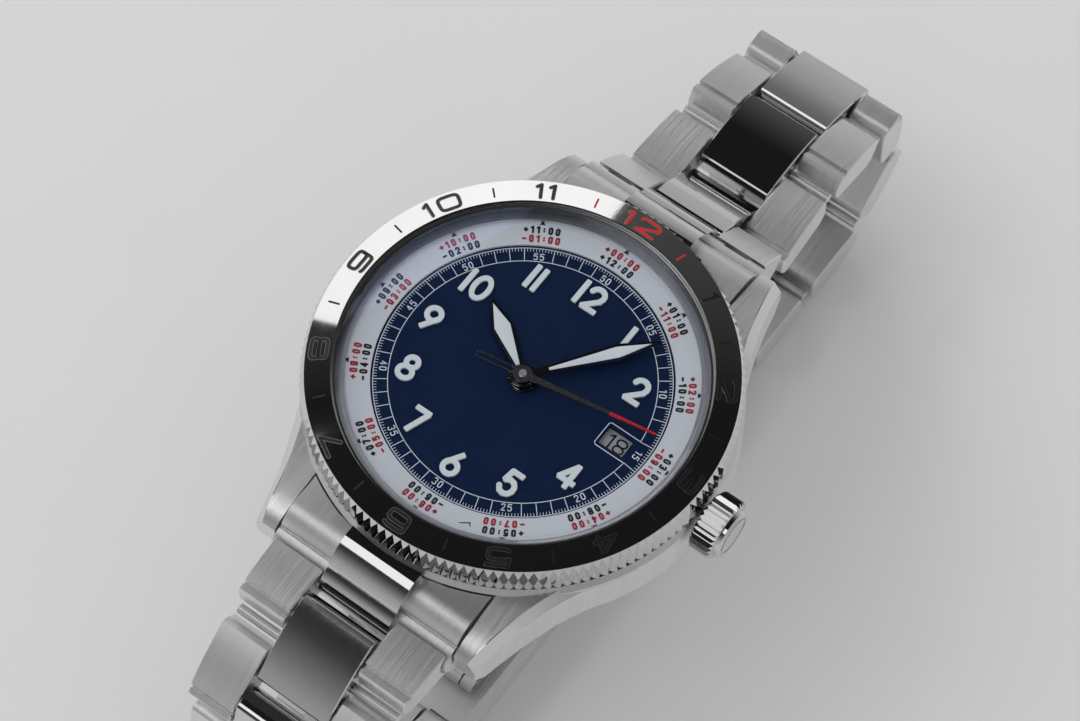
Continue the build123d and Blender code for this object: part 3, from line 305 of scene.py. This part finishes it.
flank_centre, flank_radius = circle_through(lug_points)
case_steel = Finish("case_steel", **METAL)
vector, (x, y, z) = case_steel.place()
across = x.size() - flank_centre[0] * MM
along = y.size() - flank_centre[1] * MM
reach = ((across ** 2 + along ** 2) ** 0.5 - flank_radius * MM).size()
fallen = (y.size() - lug_fall_y * MM).most(0.0) / ((lug_tip_y - lug_fall_y) * MM)
lug_top = lug_top_z * MM - lug_fall_z * MM * fallen ** lug_fall_power
near_flank = reach < (bevel_mm - bevel_spare_mm) * MM
near_top = z > lug_top - (bevel_mm + bevel_drop_mm) * MM
bevel = near_flank * near_top * (y.size() > lug_root_y * MM)
lines = brushed_lines(case_steel, vector)
satin = case_steel.blend(lines, steel_grey, steel_pale)
case_steel.set(Base_Color=case_steel.blend(bevel, satin, polish_pale),
               Roughness=bevel * 0.08 + (1 - bevel) * (0.27 + 0.16 * lines),
               Normal=case_steel.relief(lines * (1 - bevel), brush_depth))
finishes["case_steel"] = case_steel.material
print("lug flank circle", flank_centre.round(2), "radius", round(flank_radius, 2), "mm")

# %% [markdown]
# ## Dial, ring, lume and inks
# The dial is matte navy lacquer, which has a grain finer than a tenth of a millimetre. The ring
# around it is matte white, the numerals are blocks of off-white luminous compound with a slight
# grain, and the printing is pad-printed ink.

# %% Lacquers, lume and inks
def painted(name, low, high, rough, grain_mm=0.08, depth=0.000004, **constants):
    """Paint whose colour drifts between two near tones and whose grain is grain_mm wide."""
    finish = Finish(name, **constants)
    vector, _ = finish.place()
    cycles = 1.0 / (grain_mm * MM)
    speck = finish.grain(vector, (cycles, cycles, cycles))
    cloud = finish.grain(vector, (300.0, 300.0, 300.0), detail=2.0)
    finish.set(Base_Color=finish.blend(0.6 * cloud + 0.4 * speck, low, high),
               Roughness=rough + 0.12 * speck, Normal=finish.relief(speck, depth))
    finishes[name] = finish.material


painted("dial_navy", rgb(0.0012, 0.0118, 0.046), rgb(0.0020, 0.0155, 0.058), rough=0.5,
        grain_mm=0.04, depth=0.000002, IOR=1.22)
painted("ring_white", rgb(0.60, 0.62, 0.62), rgb(0.68, 0.70, 0.70), rough=0.5,
        grain_mm=0.06, depth=0.000002)
painted("lume", rgb(0.62, 0.68, 0.66), rgb(0.82, 0.86, 0.84), rough=0.6, grain_mm=0.12, depth=0.00002)
painted("ink_white", rgb(0.66, 0.70, 0.74), rgb(0.78, 0.81, 0.84), rough=0.5)
painted("ink_black", rgb(0.006, 0.008, 0.012), rgb(0.012, 0.014, 0.018), rough=0.45)
painted("ink_red", rgb(0.36, 0.012, 0.022), rgb(0.46, 0.02, 0.03), rough=0.45)
painted("engraving_black", rgb(0.006, 0.006, 0.007), rgb(0.014, 0.014, 0.015), rough=0.3, grain_mm=0.1)
painted("engraving_red", rgb(0.48, 0.01, 0.015), rgb(0.60, 0.02, 0.025), rough=0.3, grain_mm=0.1)
painted("engraving_edge", grey(0.30), grey(0.42), rough=0.25, grain_mm=0.1, Metallic=1.0)
painted("date_card", rgb(0.34, 0.35, 0.35), rgb(0.42, 0.43, 0.43), rough=0.55)
painted("seal_rubber", grey(0.012), grey(0.03), rough=0.6, grain_mm=0.2, depth=0.00001)
print("paints", [name for name in finishes if "steel" not in name])

# %% [markdown]
# ## Movement finishes
# The plate and the wheels are gilt brass with the round overlapping spots of perlage, the bridge is
# striped steel, and small parts are plain machined steel.

# %% Movement finishes
def movement(name, low, high, pattern):
    """Metal whose height is a pattern: 'spots' for perlage and 'stripes' for broad polishing lines."""
    finish = Finish(name, **METAL)
    vector, (x, y, _) = finish.place()
    if pattern == "spots":
        cells = finish.add("VectorMath", {"operation": "MULTIPLY"}, {0: vector, 1: (900.0, 900.0, 0.0)})
        spots = finish.add("TexVoronoi", {"feature": "F1"},
                           {"Vector": cells, "Scale": 1.0, "Randomness": 0.25})
        phase = spots * 26.0
    else:
        phase = (x + y) * 3000.0
    height = phase.maths("SINE", phase) * 0.5 + 0.5
    speck = finish.grain(vector, (2600.0, 2600.0, 2600.0))
    finish.set(Base_Color=finish.blend(height * 0.6 + speck * 0.4, low, high),
               Roughness=0.24 + 0.14 * speck, Normal=finish.relief(height * 0.7 + speck * 0.3, 0.00001))
    finishes[name] = finish.material


movement("gilt_brass", rgb(0.62, 0.47, 0.24), rgb(0.74, 0.58, 0.32), "spots")
movement("striped_steel", rgb(0.52, 0.52, 0.53), grey(0.66), "stripes")
print("movement finishes added")

# %% [markdown]
# ## Crystal
# Sapphire with a blue anti-reflection coat passes nearly all light and gives back a faint blue
# reflection, stronger at a slant. A thin layer that is mostly clear and partly mirror shows that
# without bending the dial. The ground rim is duller and shows as a pale ring.

# %% Crystal finish
crystal_rim_r = 16.43
coat_share, smear_share, slant_share, rim_share = 0.03, 0.01, 0.4, 0.2
coated = Finish("coated_crystal", "MixShader")
clear = coated.add("BsdfTransparent", {}, {"Color": rgb(0.97, 0.98, 1.0)})
vector, (x, y, _) = coated.place()
slant = coated.add("LayerWeight", {}, {"Blend": 0.5}, "Facing")
rim = (x ** 2 + y ** 2) ** 0.5 > crystal_rim_r * MM
tint = coated.blend(rim, rgb(0.45, 0.55, 1.0), rgb(0.80, 0.82, 0.84))
mirror = coated.add("BsdfPrincipled", {}, {"Base Color": tint, "Roughness": 0.02, **METAL})
smear = coated.grain(vector, (120.0, 120.0, 120.0), detail=2.0)
share = (coat_share + smear_share * smear + slant_share * slant ** 4).most(rim * rim_share)
for number, value in enumerate((share, clear, mirror)):
    coated.feed(coated.shader.inputs[number], value)
finishes["coated_crystal"] = coated.material
print("crystal finish added")

# %% [markdown]
# ## Hands
# The hour and minute hands are polished steel coloured darker than the other steel: painted shade for the
# dark flanks that polished hands show. The sweep hand's blade is coloured dark grey, a painted reflection of
# the dark that its polished face mirrors, with a bright cap in the middle and a red tip that starts 8.7 mm
# from the centre. Its counterweight is on the other side and ends nearer, so the distance from the dial's
# axis tells cap, blade and tip apart.

# %% Hand finishes
red_from_r, cap_to_r = 8.7, 0.38
# hand steel gets a base colour darker than the other steel: painted shade for the hands' dark flanks
polished("hand_steel", grey(0.34), grey(0.5), rough=0.08)
sweep = Finish("sweep_hand_painted_dark", IOR=1.6)
vector, (x, y, _) = sweep.place()
reach = (x ** 2 + y ** 2) ** 0.5
tip, cap = reach > red_from_r * MM, reach < cap_to_r * MM
speck = sweep.grain(vector, (9000.0, 9000.0, 9000.0), detail=2.0)
# the blade's dark grey is a painted reflection of the dark its polished face mirrors; the cap and the red tip
# are the hand's own colours
blade = sweep.blend(cap, rgb(0.13, 0.125, 0.13), grey(0.85))
sweep.set(Base_Color=sweep.blend(tip, blade, rgb(0.55, 0.012, 0.02)),
          Roughness=0.22 + 0.1 * speck, Metallic=0.8 * (1 - tip), Normal=sweep.relief(speck, 0.000001))
finishes["sweep_hand_painted_dark"] = sweep.material
print("hand finishes added")

# %% [markdown]
# ## Dress the solids
# Every solid keeps its shape and gets one of the finishes above.

# %% Give each node its finish
dress = {
    "case_middle": "case_steel", "case_back": "brushed_steel", "bezel": "bezel_steel",
    "crystal": "coated_crystal", "dial": "dial_navy", "offset_ring": "ring_white",
    "hour_numerals": "lume", "hour_hand": "hand_steel", "minute_hand": "hand_steel",
    "seconds_hand": "sweep_hand_painted_dark", "date_disc": "date_card", "crown": "polished_steel",
    "end_link_twelve": "end_link_steel", "end_link_six": "end_link_steel",
    "clasp_cover": "brushed_steel", "clasp_blade_outer": "brushed_steel",
    "clasp_blade_inner": "brushed_steel", "clasp_button_crown_side": "polished_steel",
    "clasp_button_far_side": "polished_steel", "main_plate": "gilt_brass",
    "train_bridge": "striped_steel", "winding_rotor": "gilt_brass", "movement_ring": "striped_steel",
}
for name, node in nodes.items():
    if name in dress:
        chosen = dress[name]
    elif name.startswith("link_row"):
        chosen = "link_steel"
    elif "gasket" in name:
        chosen = "seal_rubber"
    elif name.endswith("wheel") or "barrel" in name:
        chosen = "gilt_brass"
    else:
        chosen = "machined_steel"
    for holder in node.material_slots:
        holder.material = finishes[chosen]
    if not node.material_slots:
        node.data.materials.append(finishes[chosen])
print("dressed", len(nodes), "nodes")

# %% [markdown]
# ## Strokes
# All printing on a watch is thin strokes of ink of even width with round ends. A stroke is a path in
# a flat plane: u runs along the line of text, v up. It becomes a low closed bar whose half width
# follows a quarter circle at both ends. Every letterless mark here, digits, ticks and circles, is
# such a bar, bent onto the surface that carries it.

# %% Bars along paths
def rounded(path, half):
    """Path and half widths with round ends: beyond each end the half width is half times cos(t)
    while the centre line advances by half times sin(t), for t from 0 to 86 degrees."""
    swing = np.radians([0.0, 30.0, 55.0, 74.0, 86.0])
    first = path[0] - path[1]
    last = path[-1] - path[-2]
    first = first / np.hypot(*first)
    last = last / np.hypot(*last)
    head = path[0] + half * np.sin(swing[::-1])[:, None] * first
    tail = path[-1] + half * np.sin(swing)[:, None] * last
    widths = np.concatenate([half * np.cos(swing[::-1]), np.full(len(path) - 2, half), half * np.cos(swing)])
    return np.concatenate([head, path[1:-1], tail]), widths


def bar(path, half, low, high, closed=False):
    """Closed bar along a flat path: four corners per point, at plus and minus the half width along
    the path's normal and at heights low and high. Returns points (u, v, h) and quads."""
    path = np.asarray(path, float)
    if closed:
        widths = np.full(len(path), half)
        ahead = np.roll(path, -1, axis=0) - np.roll(path, 1, axis=0)
    else:
        path, widths = rounded(path, half)
        ahead = np.gradient(path, axis=0)
    ahead /= np.hypot(ahead[:, 0], ahead[:, 1])[:, None]
    side = np.stack([-ahead[:, 1], ahead[:, 0]], axis=1) * widths[:, None]
    count = len(path)
    left, right = path + side, path - side
    corners = np.zeros((count, 4, 3))
    corners[:, 0, :2], corners[:, 1, :2] = left, left
    corners[:, 2, :2], corners[:, 3, :2] = right, right
    corners[:, (0, 3), 2], corners[:, (1, 2), 2] = low, high
    rows = np.arange(count if closed else count - 1)[:, None]
    ring = np.arange(4)[None, :]
    here, there = rows % count * 4, (rows + 1) % count * 4
    quads = np.stack([here + ring, here + (ring + 1) % 4, there + (ring + 1) % 4, there + ring], axis=2)
    quads = quads.reshape(-1, 4)
    if not closed:
        end = (count - 1) * 4
        quads = np.concatenate([quads, [[3, 2, 1, 0]], [[end, end + 1, end + 2, end + 3]]])
    return corners.reshape(-1, 3), quads


def gather(parts):
    """Several (points, quads) as one, with the quads' numbers moved on."""
    starts = np.cumsum([0] + [len(points) for points, _ in parts[:-1]])
    points = np.concatenate([part[0] for part in parts])
    quads = np.concatenate([part[1] + start for part, start in zip(parts, starts)])
    return points, quads


print("bar of a straight stroke has", len(bar([(0, 0), (1, 0)], 0.1, 0, 0.1)[0]), "points")

# %% [markdown]
# ## Digits
# A digit is drawn in a box one unit high from straight runs and from arcs of a superellipse,
# (x/a)^p + (y/b)^p = 1. With p = 2 the arcs are round, as on the date disc; with p = 4 they are the
# squarish ones of the bezel and of condensed print.

# %% Digit paths
def arc(cx, cy, a, b, start, stop, power, count=15):
    """Superellipse arc from start to stop degrees: x = a sign(cos) |cos|^(2/p), y likewise."""
    angle = np.radians(np.linspace(start, stop, count))
    c, s = np.cos(angle), np.sin(angle)
    x = cx + a * np.sign(c) * np.abs(c) ** (2 / power)
    y = cy + b * np.sign(s) * np.abs(s) ** (2 / power)
    return np.stack([x, y], axis=1)


def digit_paths(character, wide, power):
    """Paths of one character in a box wide by 1, centred. Returns (path, closed) pairs."""
    a = wide / 2
    run = lambda *points: (np.array(points, float), False)
    curve = lambda *values: (arc(*values, power), False)
    loop = lambda cy, b: (arc(0, cy, a, b, 0, 360, power, 29)[:-1], True)
    return {
        "0": [loop(0, 0.5)],
        "1": [run((0.1, 0.5), (0.1, -0.5)), run((-0.14, 0.34), (0.1, 0.5))],
        "2": [curve(0, 0.22, a, 0.28, 165, -10), run((a, 0.17), (-a, -0.5)), run((-a, -0.5), (a, -0.5))],
        "3": [curve(0, 0.25, a, 0.25, 150, -90), curve(0, -0.25, a, 0.25, 90, -150)],
        "4": [run((a * 0.55, -0.5), (a * 0.55, 0.5)), run((a * 0.55, 0.5), (-a, -0.22)),
              run((-a, -0.22), (a, -0.22))],
        "5": [run((a, 0.5), (-a * 0.85, 0.5)), run((-a * 0.85, 0.5), (-a, 0.06)),
              curve(0, -0.18, a, 0.32, 130, -150)],
        "6": [loop(-0.2, 0.3), run((-a, -0.2), (-a, 0.2)), curve(0, 0.2, a, 0.3, 180, 35)],
        "7": [run((-a, 0.5), (a, 0.5)), run((a, 0.5), (-a * 0.3, -0.5))],
        "8": [loop(0.25, 0.25), loop(-0.25, 0.25)],
        "9": [loop(0.2, 0.3), run((a, 0.2), (a, -0.2)), curve(0, -0.2, a, 0.3, 0, -145)],
        "+": [run((-a, 0), (a, 0)), run((0, a), (0, -a))],
        "-": [run((-a, 0), (a, 0))],
        ":": [run((0, 0.2), (0, 0.21)), run((0, -0.2), (0, -0.21))],
    }[character]


INK_LOW, INK_HIGH = -0.02, 0.014
NARROW = 0.3


def write(text, height, wide, stroke, gap, high=INK_HIGH, power=3.0):
    """A line of characters centred on (0, 0), sizes in millimetres. wide is a share of the height."""
    advances = np.array([(NARROW if c in "1:" else wide) * height + stroke + gap for c in text])
    middles = np.cumsum(advances) - advances / 2 - advances.sum() / 2
    parts = []
    for character, middle in zip(text, middles):
        for path, closed in digit_paths(character, wide, power):
            placed = path * (height - stroke) + (middle, 0)
            parts.append(bar(placed, stroke / 2, INK_LOW, high, closed))
    return gather(parts)


print("digits for", "0123456789+-:")

# %% [markdown]
# ## Bending marks onto the watch
# Text around a dial follows a circle. A point (u, v) of a line of text at radius R and clock angle c
# goes to radius R + v and to the angle c + u / R; where the tops point inward both change sign.
# The height h is counted from the carrying surface, whose level is a function of the radius.

# %% Wrap, place and make meshes
dial_top, ring_in, ring_low, ring_out, ring_high = 8.6, 13.78, 8.85, 16.4, 9.1
bezel_in, bezel_high, bezel_out, bezel_low = 17.3, 10.89, 19.64, 10.48
date_top = 8.0


def on_dial(radius):
    return np.full_like(radius, dial_top)


def on_ring(radius):
    return ring_low + (radius - ring_in) * (ring_high - ring_low) / (ring_out - ring_in)


def on_bezel(radius):
    return bezel_high + (radius - bezel_in) * (bezel_low - bezel_high) / (bezel_out - bezel_in)


def wrap(part, radius, clock, surface, outward=True):
    """Bend a flat part round the dial's axis at a clock angle in degrees."""
    points, quads = part
    sign = 1.0 if outward else -1.0
    r = radius + sign * points[:, 1]
    angle = np.radians(clock) + sign * points[:, 0] / radius
    return np.stack([r * np.sin(angle), r * np.cos(angle), surface(r) + points[:, 2]], axis=1), quads


def radial(r0, r1, clock, half, surface, high=INK_HIGH):
    """Straight mark along a radius."""
    middle = (r0 + r1) / 2
    reach = (r1 - r0) / 2 - half
    return wrap(bar([(0, -reach), (0, reach)], half, INK_LOW, high), middle, clock, surface)


def make(name, parts, finish, body):
    """Mesh of (points in millimetres, quads), turned outward by the sign of each part's volume."""
    turned = []
    for points, quads in parts:
        a, b, c, d = (points[quads[:, i]] for i in range(4))
        volume = (np.cross(a, b) * c).sum() + (np.cross(a, c) * d).sum()
        turned.append((points, quads if volume > 0 else quads[:, ::-1]))
    points, quads = gather(turned)
    mesh = bpy.data.meshes.new(name)
    mesh.from_pydata((points * MM).tolist(), [], quads.tolist())
    mesh.materials.append(finishes[finish])
    piece = bpy.data.objects.new(name, mesh)
    bpy.context.scene.collection.objects.link(piece)
    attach(piece, body)
    print(name, len(points), "points")


print("carrying surfaces: dial at", dial_top, "mm, date disc at", date_top, "mm")

# %% [markdown]
# ## Minute track
# Between the hour numerals and the white ring runs the railway of minutes: a fine inner circle, a
# fine outer one, a line across at each minute, four short ticks between two lines, and a number in
# place of each fifth line. The inner circle opens where the date window's frame joins it.

# %% Build the minute track
track_in, track_out, tick_in, number_at = 12.2, 13.55, 13.2, 12.69
circle_half, tick_half, frame_half = 0.035, 0.025, 0.04
gap_from, gap_to = 96.0, 444.0
minute_turn, fifth_turn = 6.0, 1.2


def circle(radius, start=0.0, stop=360.0, count=361):
    """Points of a circle in the plane of the dial, by clock angle."""
    clock = np.radians(np.linspace(start, stop, count))
    return np.stack([radius * np.sin(clock), radius * np.cos(clock)], axis=1)


def flat(part, level):
    """A part drawn in the plane of the dial, lifted to a level."""
    return part[0] + (0, 0, level), part[1]


track = [
    flat(bar(circle(track_out)[:-1], circle_half, INK_LOW, INK_HIGH, True), dial_top),
    flat(bar(circle(track_in, gap_from, gap_to), circle_half, INK_LOW, INK_HIGH), dial_top),
]
for minute in range(60):
    clock = minute_turn * minute
    if minute % 5:
        track.append(radial(track_in, track_out, clock, circle_half, on_dial))
    for tick in range(1, 5):
        track.append(radial(tick_in, track_out, clock + fifth_turn * tick, tick_half, on_dial))
    if minute % 5 == 0:
        track.append(radial(tick_in, track_out, clock, tick_half, on_dial))
        text = write(f"{minute or 60:02d}", height=0.72, wide=0.5, stroke=0.1, gap=0.12)
        outward = minute <= 15 or minute >= 45
        track.append(wrap(text, number_at, clock, on_dial, outward))
frame_corners = [(12.12, 1.3), (8.98, 1.3), (8.8, 1.12), (8.8, -1.12), (8.98, -1.3), (12.12, -1.3)]
track.append(flat(bar(frame_corners, frame_half, INK_LOW, INK_HIGH), dial_top))
make("minute_track_print", track, "ink_white", "head")

# %% [markdown]
# ## Offset ring
# The white ring carries two lines of time differences from universal time per hour, twelve hours apart,
# one in red and one in black, with a small triangle outside. Each is written with a sign and four
# digits, so the ring reads the same all round. A short angle between five and six marks the half hour.

# %% Print the offset ring
outer_at, inner_at, triangle_at, angle_at = 15.3, 14.4, 16.02, 15.2
hour_turn = 30.0
angle_half, hair_half = 0.05, 0.01
marks = {"ink_black": [], "ink_red": []}


def signed(hours):
    return f"{'-' if hours < 0 else '+'}{abs(hours):02d}:00"


def triangle(radius, clock, half, height):
    """Small solid triangle with its point outward: a flat-topped bar, wide below and a hair wide above."""
    foot, point = -height / 2, height / 2
    points = np.array([(-half, foot), (half, foot), (hair_half, point), (-hair_half, point)])
    low = np.column_stack([points, np.full(4, INK_LOW)])
    high = np.column_stack([points, np.full(4, INK_HIGH)])
    quads = np.array([(0, 1, 2, 3), (7, 6, 5, 4), (0, 4, 5, 1), (1, 5, 6, 2), (2, 6, 7, 3), (3, 7, 4, 0)])
    return wrap((np.concatenate([low, high]), quads), radius, clock, on_ring)


for hour in range(12):
    clock = hour_turn * hour
    colours = ("ink_black", "ink_red") if hour % 2 or hour == 11 else ("ink_red", "ink_black")
    for colour, radius, hours in zip(colours, (outer_at, inner_at), (hour, hour - 12 if hour else 12)):
        text = write(signed(hours), height=0.76, wide=0.46, stroke=0.2, gap=0.12, power=3.5)
        marks[colour].append(wrap(text, radius, clock, on_ring))
    marks["ink_black"].append(triangle(triangle_at, clock, half=0.29, height=0.42))
corner_r, corner_clock = np.array([15.45, 15.0, 15.4]), np.radians([166.0, 161.5, 161.0])
corner = np.column_stack([corner_r * np.sin(corner_clock), corner_r * np.cos(corner_clock)])
for ends in (corner[:2], corner[1:]):
    marks["ink_black"].append(flat(bar(ends, angle_half, INK_LOW, INK_HIGH), on_ring(angle_at)))
for colour, parts in marks.items():
    make(f"offset_ring_{colour}", parts, colour, "head")

# %% [markdown]
# ## Bezel engraving
# The turning bezel carries 1 to 12 and a tick at each half hour, engraved and filled. The figures are
# wide and squarish with their tops outward. Twelve and the ticks beside it are filled red. The cut's
# walls catch the light as a bright line round each figure, so under every filled stroke lies a
# slightly wider and lower one of bare metal.

# %% Fill the bezel's engraving
engraved = {"engraving_black": [], "engraving_red": [], "engraving_edge": []}
numeral_at, numeral_height, numeral_gap = 18.45, 1.8, 0.34
stroke, edge = 0.31, 0.08
fill_top, edge_top = 0.03, 0.02
tick_from, tick_to, tick_width = 17.8, 18.95, 0.09


def numeral(hour, width, top):
    """Figures of one hour in strokes of a width; the middle lines stay the same for every width."""
    wider = width - stroke
    figures = write(str(hour), numeral_height + wider, wide=1.3, stroke=width, gap=numeral_gap - wider,
                    high=top, power=4.5)
    return wrap(figures, numeral_at, hour_turn * hour, on_bezel)


for hour in range(1, 13):
    colour = "engraving_red" if hour == 12 else "engraving_black"
    engraved[colour].append(numeral(hour, stroke, fill_top))
    engraved["engraving_edge"].append(numeral(hour, stroke + edge, edge_top))
    colour = "engraving_red" if hour in (11, 12) else "engraving_black"
    half_past = hour_turn * (hour + 0.5)
    engraved[colour].append(radial(tick_from, tick_to, half_past, tick_width, on_bezel, fill_top))
for colour, parts in engraved.items():
    make(f"bezel_{colour}", parts, colour, "bezel")

# %% [markdown]
# ## Date numbers
# The disc under the dial carries 1 to 31. The one at three o'clock is upright in the window.

# %% Print the date disc
shown_date, date_at, dates = 18, 10.42, 31
date_parts = []
for number in range(1, dates + 1):
    points, quads = write(str(number), height=1.6, wide=0.68, stroke=0.18, gap=0.14, high=0.02, power=2.4)
    turn = np.radians((number - shown_date) * 360.0 / dates)
    across, up = points[:, 0] + date_at, points[:, 1]
    spun_x = across * np.cos(turn) - up * np.sin(turn)
    spun_y = across * np.sin(turn) + up * np.cos(turn)
    date_parts.append((np.stack([spun_x, spun_y, date_top + points[:, 2]], axis=1), quads))
make("date_numbers", date_parts, "ink_black", "date_disc")

# %% [markdown]
# ## Luminous inserts of the hands
# Each lozenge hand holds an insert of compound that leaves a narrow rim of steel. The insert is a
# ridge along the hand: its half width rises from the hub to the widest place and falls to the tip.

# %% Fill the hands
sections, root_share = 25, 0.22


def insert(clock, r0, r_wide, r1, half, level, height):
    """Low ridge along a clock angle: five corners per section, highest on the centre line. Its half
    width goes from a share at r0 to half at r_wide and down to a hair at r1."""
    r = np.linspace(r0, r1, sections)
    widening = root_share + (1 - root_share) * (r - r0) / (r_wide - r0)
    width = half * np.where(r < r_wide, widening, (r1 - r) / (r1 - r_wide)) + hair_half
    along = np.array([np.sin(np.radians(clock)), np.cos(np.radians(clock))])
    side = np.array([along[1], -along[0]])
    shares = np.array([-1.0, -0.92, 0.0, 0.92, 1.0])
    lifts = np.array([INK_LOW, height * 0.4, height, height * 0.4, INK_LOW])
    flat_part = r[:, None, None] * along + (width[:, None] * shares)[:, :, None] * side
    lift = np.broadcast_to(level + lifts, (len(r), 5))[:, :, None]
    points = np.concatenate([flat_part, lift], axis=2).reshape(-1, 3)
    rows, ring = np.arange(len(r) - 1)[:, None] * 5, np.arange(5)[None, :]
    quads = np.stack([rows + ring, rows + (ring + 1) % 5, rows + 5 + (ring + 1) % 5, rows + 5 + ring], axis=2)
    return points, quads.reshape(-1, 4)


hour_insert = insert(clock=303.6, r0=1.3, r_wide=5.49, r1=8.0, half=0.78, level=9.15, height=0.07)
minute_insert = insert(clock=38.2, r0=2.44, r_wide=8.94, r1=12.05, half=0.575, level=9.53, height=0.07)
make("hour_hand_lume", [hour_insert], "lume", "hour")
make("minute_hand_lume", [minute_insert], "lume", "minute")

# %% [markdown]
# ## Floor
# The watch stands on its clasp, on plain pale paper. The paper lies at the lowest point of the solids
# and is large enough to fill every view.

# %% Lay the floor
floor_z = float(cad_box[0][2])
floor_half = 1.6
floor_mesh = bpy.data.meshes.new("floor")
corner_signs = ((-1, -1), (1, -1), (1, 1), (-1, 1))
floor_corners = [(x * floor_half, y * floor_half, floor_z) for x, y in corner_signs]
floor_mesh.from_pydata(floor_corners, [], [(0, 1, 2, 3)])
floor = bpy.data.objects.new("floor", floor_mesh)
bpy.context.scene.collection.objects.link(floor)
paper = Finish("floor_paper", Roughness=0.8)
vector, _ = paper.place()
paper.set(Base_Color=paper.blend(paper.grain(vector, (40.0, 40.0, 40.0)),
                                 rgb(0.74, 0.74, 0.745), rgb(0.77, 0.77, 0.775)))
floor_mesh.materials.append(paper.material)
print("floor at", round(floor_z, 5), "m")

# %% [markdown]
# ## Lamps
# Polished steel shows the lamps themselves. A large soft one behind and to the left makes the bright
# arc of the bezel from 9 to 11, and its edges are what ends that arc. Two smaller ones at the left and
# in front stay outside what the bezel mirrors and only light the brushed links.

# %% Hang the lamps
def lamp(name, toward, along, distance, width, height, level):
    """Rectangular lamp that faces the watch, its width along a direction; level is its radiance, and
    the power of a lamp of area A and radiance L is pi A L."""
    data = bpy.data.lights.new(name, "AREA")
    data.shape = "RECTANGLE"
    data.size, data.size_y, data.energy = width, height, np.pi * width * height * level
    lamp_object = bpy.data.objects.new(name, data)
    bpy.context.scene.collection.objects.link(lamp_object)
    toward = np.array(toward) / np.linalg.norm(toward)
    side = np.array(along) - toward * np.dot(along, toward)
    side /= np.linalg.norm(side)
    turn = Matrix((side, np.cross(toward, side), toward)).transposed().to_4x4()
    lamp_object.matrix_world = Matrix.Translation(toward * distance) @ turn


lamp("softbox", toward=(-0.790, 0.546, 0.529), along=(0.19, 0.54, -0.15), distance=0.8,
     width=0.50, height=0.71, level=1.16)
lamp("side_panel", toward=(-0.62, -0.25, 0.74), along=(0.2, -0.8, 0.0), distance=0.9,
     width=0.45, height=0.45, level=1.4)
lamp("front_panel", toward=(-0.28, -0.38, 0.88), along=(1.0, -0.2, 0.0), distance=0.9,
     width=0.5, height=0.32, level=1.2)
print("softbox and two panels")

# %% [markdown]
# ## Surroundings
# The rest of what steel shows is the room. It is pale near the horizon and nearly black overhead, as
# under a studio's dark ceiling, which gives the bezel's other half and the centre links their depth.
# Rays that only carry light meet an even world instead, so the shadows stay soft.

# %% Paint the surroundings
even_level = 0.8
heights_and_levels = ((0.0, 0.52), (0.30, 0.40), (0.50, 0.22), (0.70, 0.06), (0.85, 0.010))
world = bpy.data.worlds.new("studio")
bpy.context.scene.world = world
world.use_nodes = True
studio = Tree(world.node_tree)
height = studio.add("SeparateXYZ", {}, {0: studio.add("TexCoord", {}, {}, "Generated")}, "Z")
stops = [(place, grey(level)) for place, level in heights_and_levels]
room = studio.add("Background", {}, {"Color": studio.add("ValToRGB", {"stops": stops}, {0: height})})
even = studio.add("Background", {}, {"Strength": even_level})
seen = studio.add("LightPath", {}, {}, "Is Camera Ray")
for ray in ("Is Glossy Ray", "Is Transmission Ray"):
    seen = seen.most(studio.add("LightPath", {}, {}, ray))
mix = studio.add("MixShader", {}, {0: seen, 1: even, 2: room})
studio.feed(world.node_tree.nodes.new("ShaderNodeOutputWorld").inputs[0], mix)
bpy.context.scene.view_settings.view_transform = "Standard"
print("world with", len(stops), "levels")
